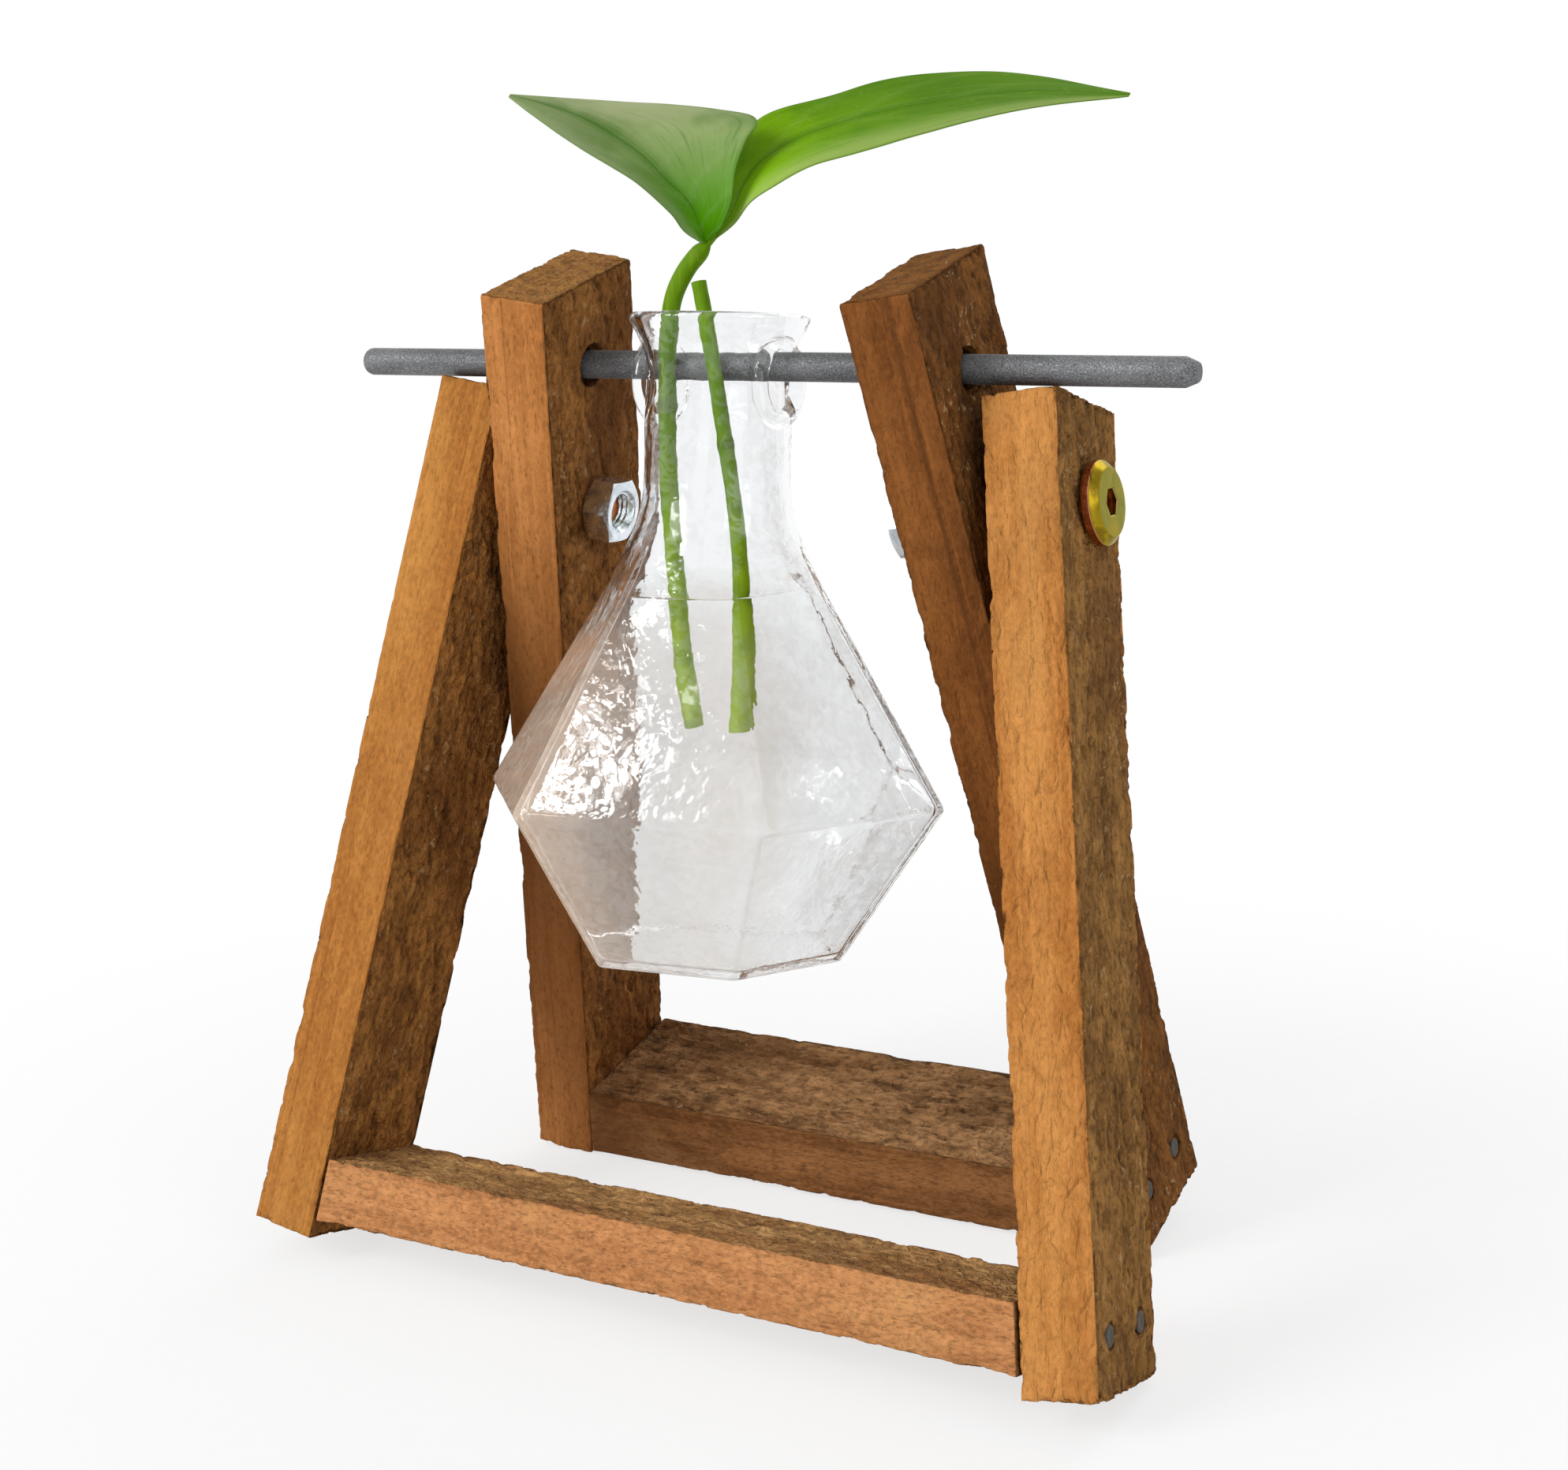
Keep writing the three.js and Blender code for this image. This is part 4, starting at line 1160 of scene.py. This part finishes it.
def make_leaf(name, seat, length, near, middle, far, wave, look):
    """Closed blade between its margins and midrib, whose points run from base to tip."""
    along, across = 90, 41
    lines = [spline(np.array(points) * length / 100 + seat, along) for points in (near, middle, far)]
    shares = np.linspace(-1, 1, across)
    blade = np.zeros((along, across, 3))
    for j, s in enumerate(shares):
        bent = lines[0] * (s * s - s) / 2 + lines[1] * (1 - s * s) + lines[2] * (s * s + s) / 2
        folded = lines[1] * (1 - abs(s)) + (lines[0] if s < 0 else lines[2]) * abs(s)
        blade[:, j] = folded * 0.55 + bent * 0.45
    face = np.cross(np.gradient(blade, axis=0), np.gradient(blade, axis=1))
    face /= np.maximum(np.linalg.norm(face, axis=2), 1e-9)[..., None]
    runs = np.linspace(0, 1, along)
    for i, run in enumerate(runs):
        for j, s in enumerate(shares):
            spot = Vector(blade[i, j] * 0.09)
            blade[i, j] += face[i, j] * wave * noise.noise(spot) * (s * s) * math.sin(math.pi * run)
    thick = leaf_thickness * (0.28 + 0.5 * np.exp(-(shares / 0.12) ** 2)[None, :] * (1.15 - runs)[:, None]
                              + 0.14 * (1 - np.abs(shares))[None, :])
    top = blade + face * thick[..., None] / 2
    under = blade - face * thick[..., None] / 2
    points = placed(np.concatenate([top.reshape(-1, 3), under.reshape(-1, 3)]), hanging)
    count = along * across
    faces = []
    for i in range(along - 1):
        for j in range(across - 1):
            a, d = i * across + j, (i + 1) * across + j
            b, c = a + 1, d + 1
            faces += [(a, b, c, d), (count + d, count + c, count + b, count + a)]
    border = ([*range(across)] + [i * across + across - 1 for i in range(1, along)]
              + [(along - 1) * across + j for j in range(across - 2, -1, -1)]
              + [i * across for i in range(along - 2, 0, -1)])
    for a, b in zip(border, border[1:] + border[:1]):
        faces.append((b, a, count + a, count + b))
    mesh = outward(mesh_of(name, points, faces), joined=False)
    layer = mesh.uv_layers.new(name="blade")
    for loop in mesh.loops:
        i, j = divmod(loop.vertex_index % count, across)
        layer.data[loop.index].uv = (runs[i], (shares[j] + 1) / 2)
    dressed(name + "_blade", mesh, look, "plant", [name], 60)


left_path = stem_path(left_stem_radius, 24.0, [
    (-0.1, 1), (-0.55, 0.81), (-0.86, 0.58), (-0.98, 0.25), (-0.99, -0.08), (-0.96, -0.24),
    (-0.84, -0.42), (-0.66, -0.6), (-0.4, -0.82), (-0.1, -1)])
right_path = stem_path(right_stem_radius, 17.0, [
    (-0.24, 1), (0, 0.41), (0.24, -0.06), (0.48, -0.22), (0.74, -0.41), (0.9, -0.59), (0.96, -0.79),
    (0.95, -1)])
green_stem = stem_look()
bent_stem = stem_rule()
stem_end = left_path[0] - left_path[1]
stem_end /= np.linalg.norm(stem_end)
leaf_seat = left_path[0] + stem_end * (seat_gap + leaf_thickness / 2)
leafy_path = np.concatenate([[left_path[0] + stem_end * reach + np.array((0, 0, reach * reach * 0.08))
                              for reach in (3.0, 2.0, 1.0)], left_path])
make_stem("left_stem", left_stem_radius, leafy_path, joint=0.36, foot=0.12, top=0.45, seed=3.0,
          rule=bent_stem, look=green_stem)
make_stem("right_stem", right_stem_radius, right_path, joint=0.36, foot=0.12, top=1.0, seed=8.0,
          rule=bent_stem, look=green_stem)
# grey_leaf's greyish tip tone is a painted sheen.
grey_leaf = leaf_look(
    "grey_leaf", base=tone(78, 142, 0), deep=tone(50, 106, 0), pale_and_sheen=tone(172, 184, 138),
    tip=tone(163, 173, 123), sheen=0.4)
# fresh_leaf's bright base tone is painted light where the base lies in shade.
fresh_leaf = leaf_look(
    "fresh_leaf", base=tone(136, 188, 8), deep=tone(66, 114, 0), pale_and_sheen=tone(176, 194, 112),
    tip=tone(84, 130, 0), sheen=0.5)
make_leaf(
    "left_leaf", leaf_seat, left_leaf_length,
    near=[(0, -3.7, 0), (-3.8, -11.9, 4.3), (-5.5, -20.2, 11.2), (-13.6, -31.5, 21.6),
          (-22.7, -39.7, 28.7), (-35.5, -43.8, 36.6), (-48.4, -44.9, 44.2), (-61.6, -44, 52),
          (-72.5, -41.6, 58.5)],
    middle=[(0.2, -2.3, 0.2), (-1.2, -6.2, 9.2), (-5, -7.8, 16.9), (-13.5, -11.1, 25.3),
            (-22.4, -15.2, 34.8), (-33.1, -20.6, 43), (-44.3, -27.6, 50), (-57.5, -35, 55.1),
            (-72.7, -40.7, 59.1)],
    far=[(0.4, -1, 0.4), (8.9, -3.7, 6.7), (13.8, -4.1, 16.9), (14.9, -2.5, 30.5), (17.9, 0.4, 42.2),
         (20.2, 5.3, 50.7), (-4.9, 12.3, 57.2), (-40.7, 0.4, 59.8), (-72.9, -39.9, 59.7)],
    wave=0.35, look=grey_leaf)
make_leaf(
    "right_leaf", leaf_seat, right_leaf_length,
    near=[(0, 0.5, 0), (6.6, 0.5, 4.3), (10.9, 0.3, 9), (17, -0.2, 12.4), (27.4, -0.4, 16.7),
          (40, 3.5, 20.5), (52.6, 13.3, 25.1), (66.2, 27.4, 30.3), (81.6, 43.7, 33.9)],
    middle=[(0.1, 1.2, 0.1), (5.6, 2, 7.2), (7.1, 3.7, 12.5), (9.6, 6.5, 17.8), (15.8, 11.7, 23.3),
            (27.2, 18.2, 28.2), (40.7, 25.8, 31.9), (59.4, 35.5, 34.9), (81.6, 44.1, 34.3)],
    far=[(0.2, 2, 0.2), (3, 3.7, 7.7), (1.2, 7.8, 16.8), (1.1, 12.2, 23.8), (3.6, 17.6, 29.3),
         (13.9, 26.3, 34.1), (26.5, 36.1, 38.9), (50.8, 44.8, 40.5), (81.6, 44.6, 34.7)],
    wave=0.5, look=fresh_leaf)
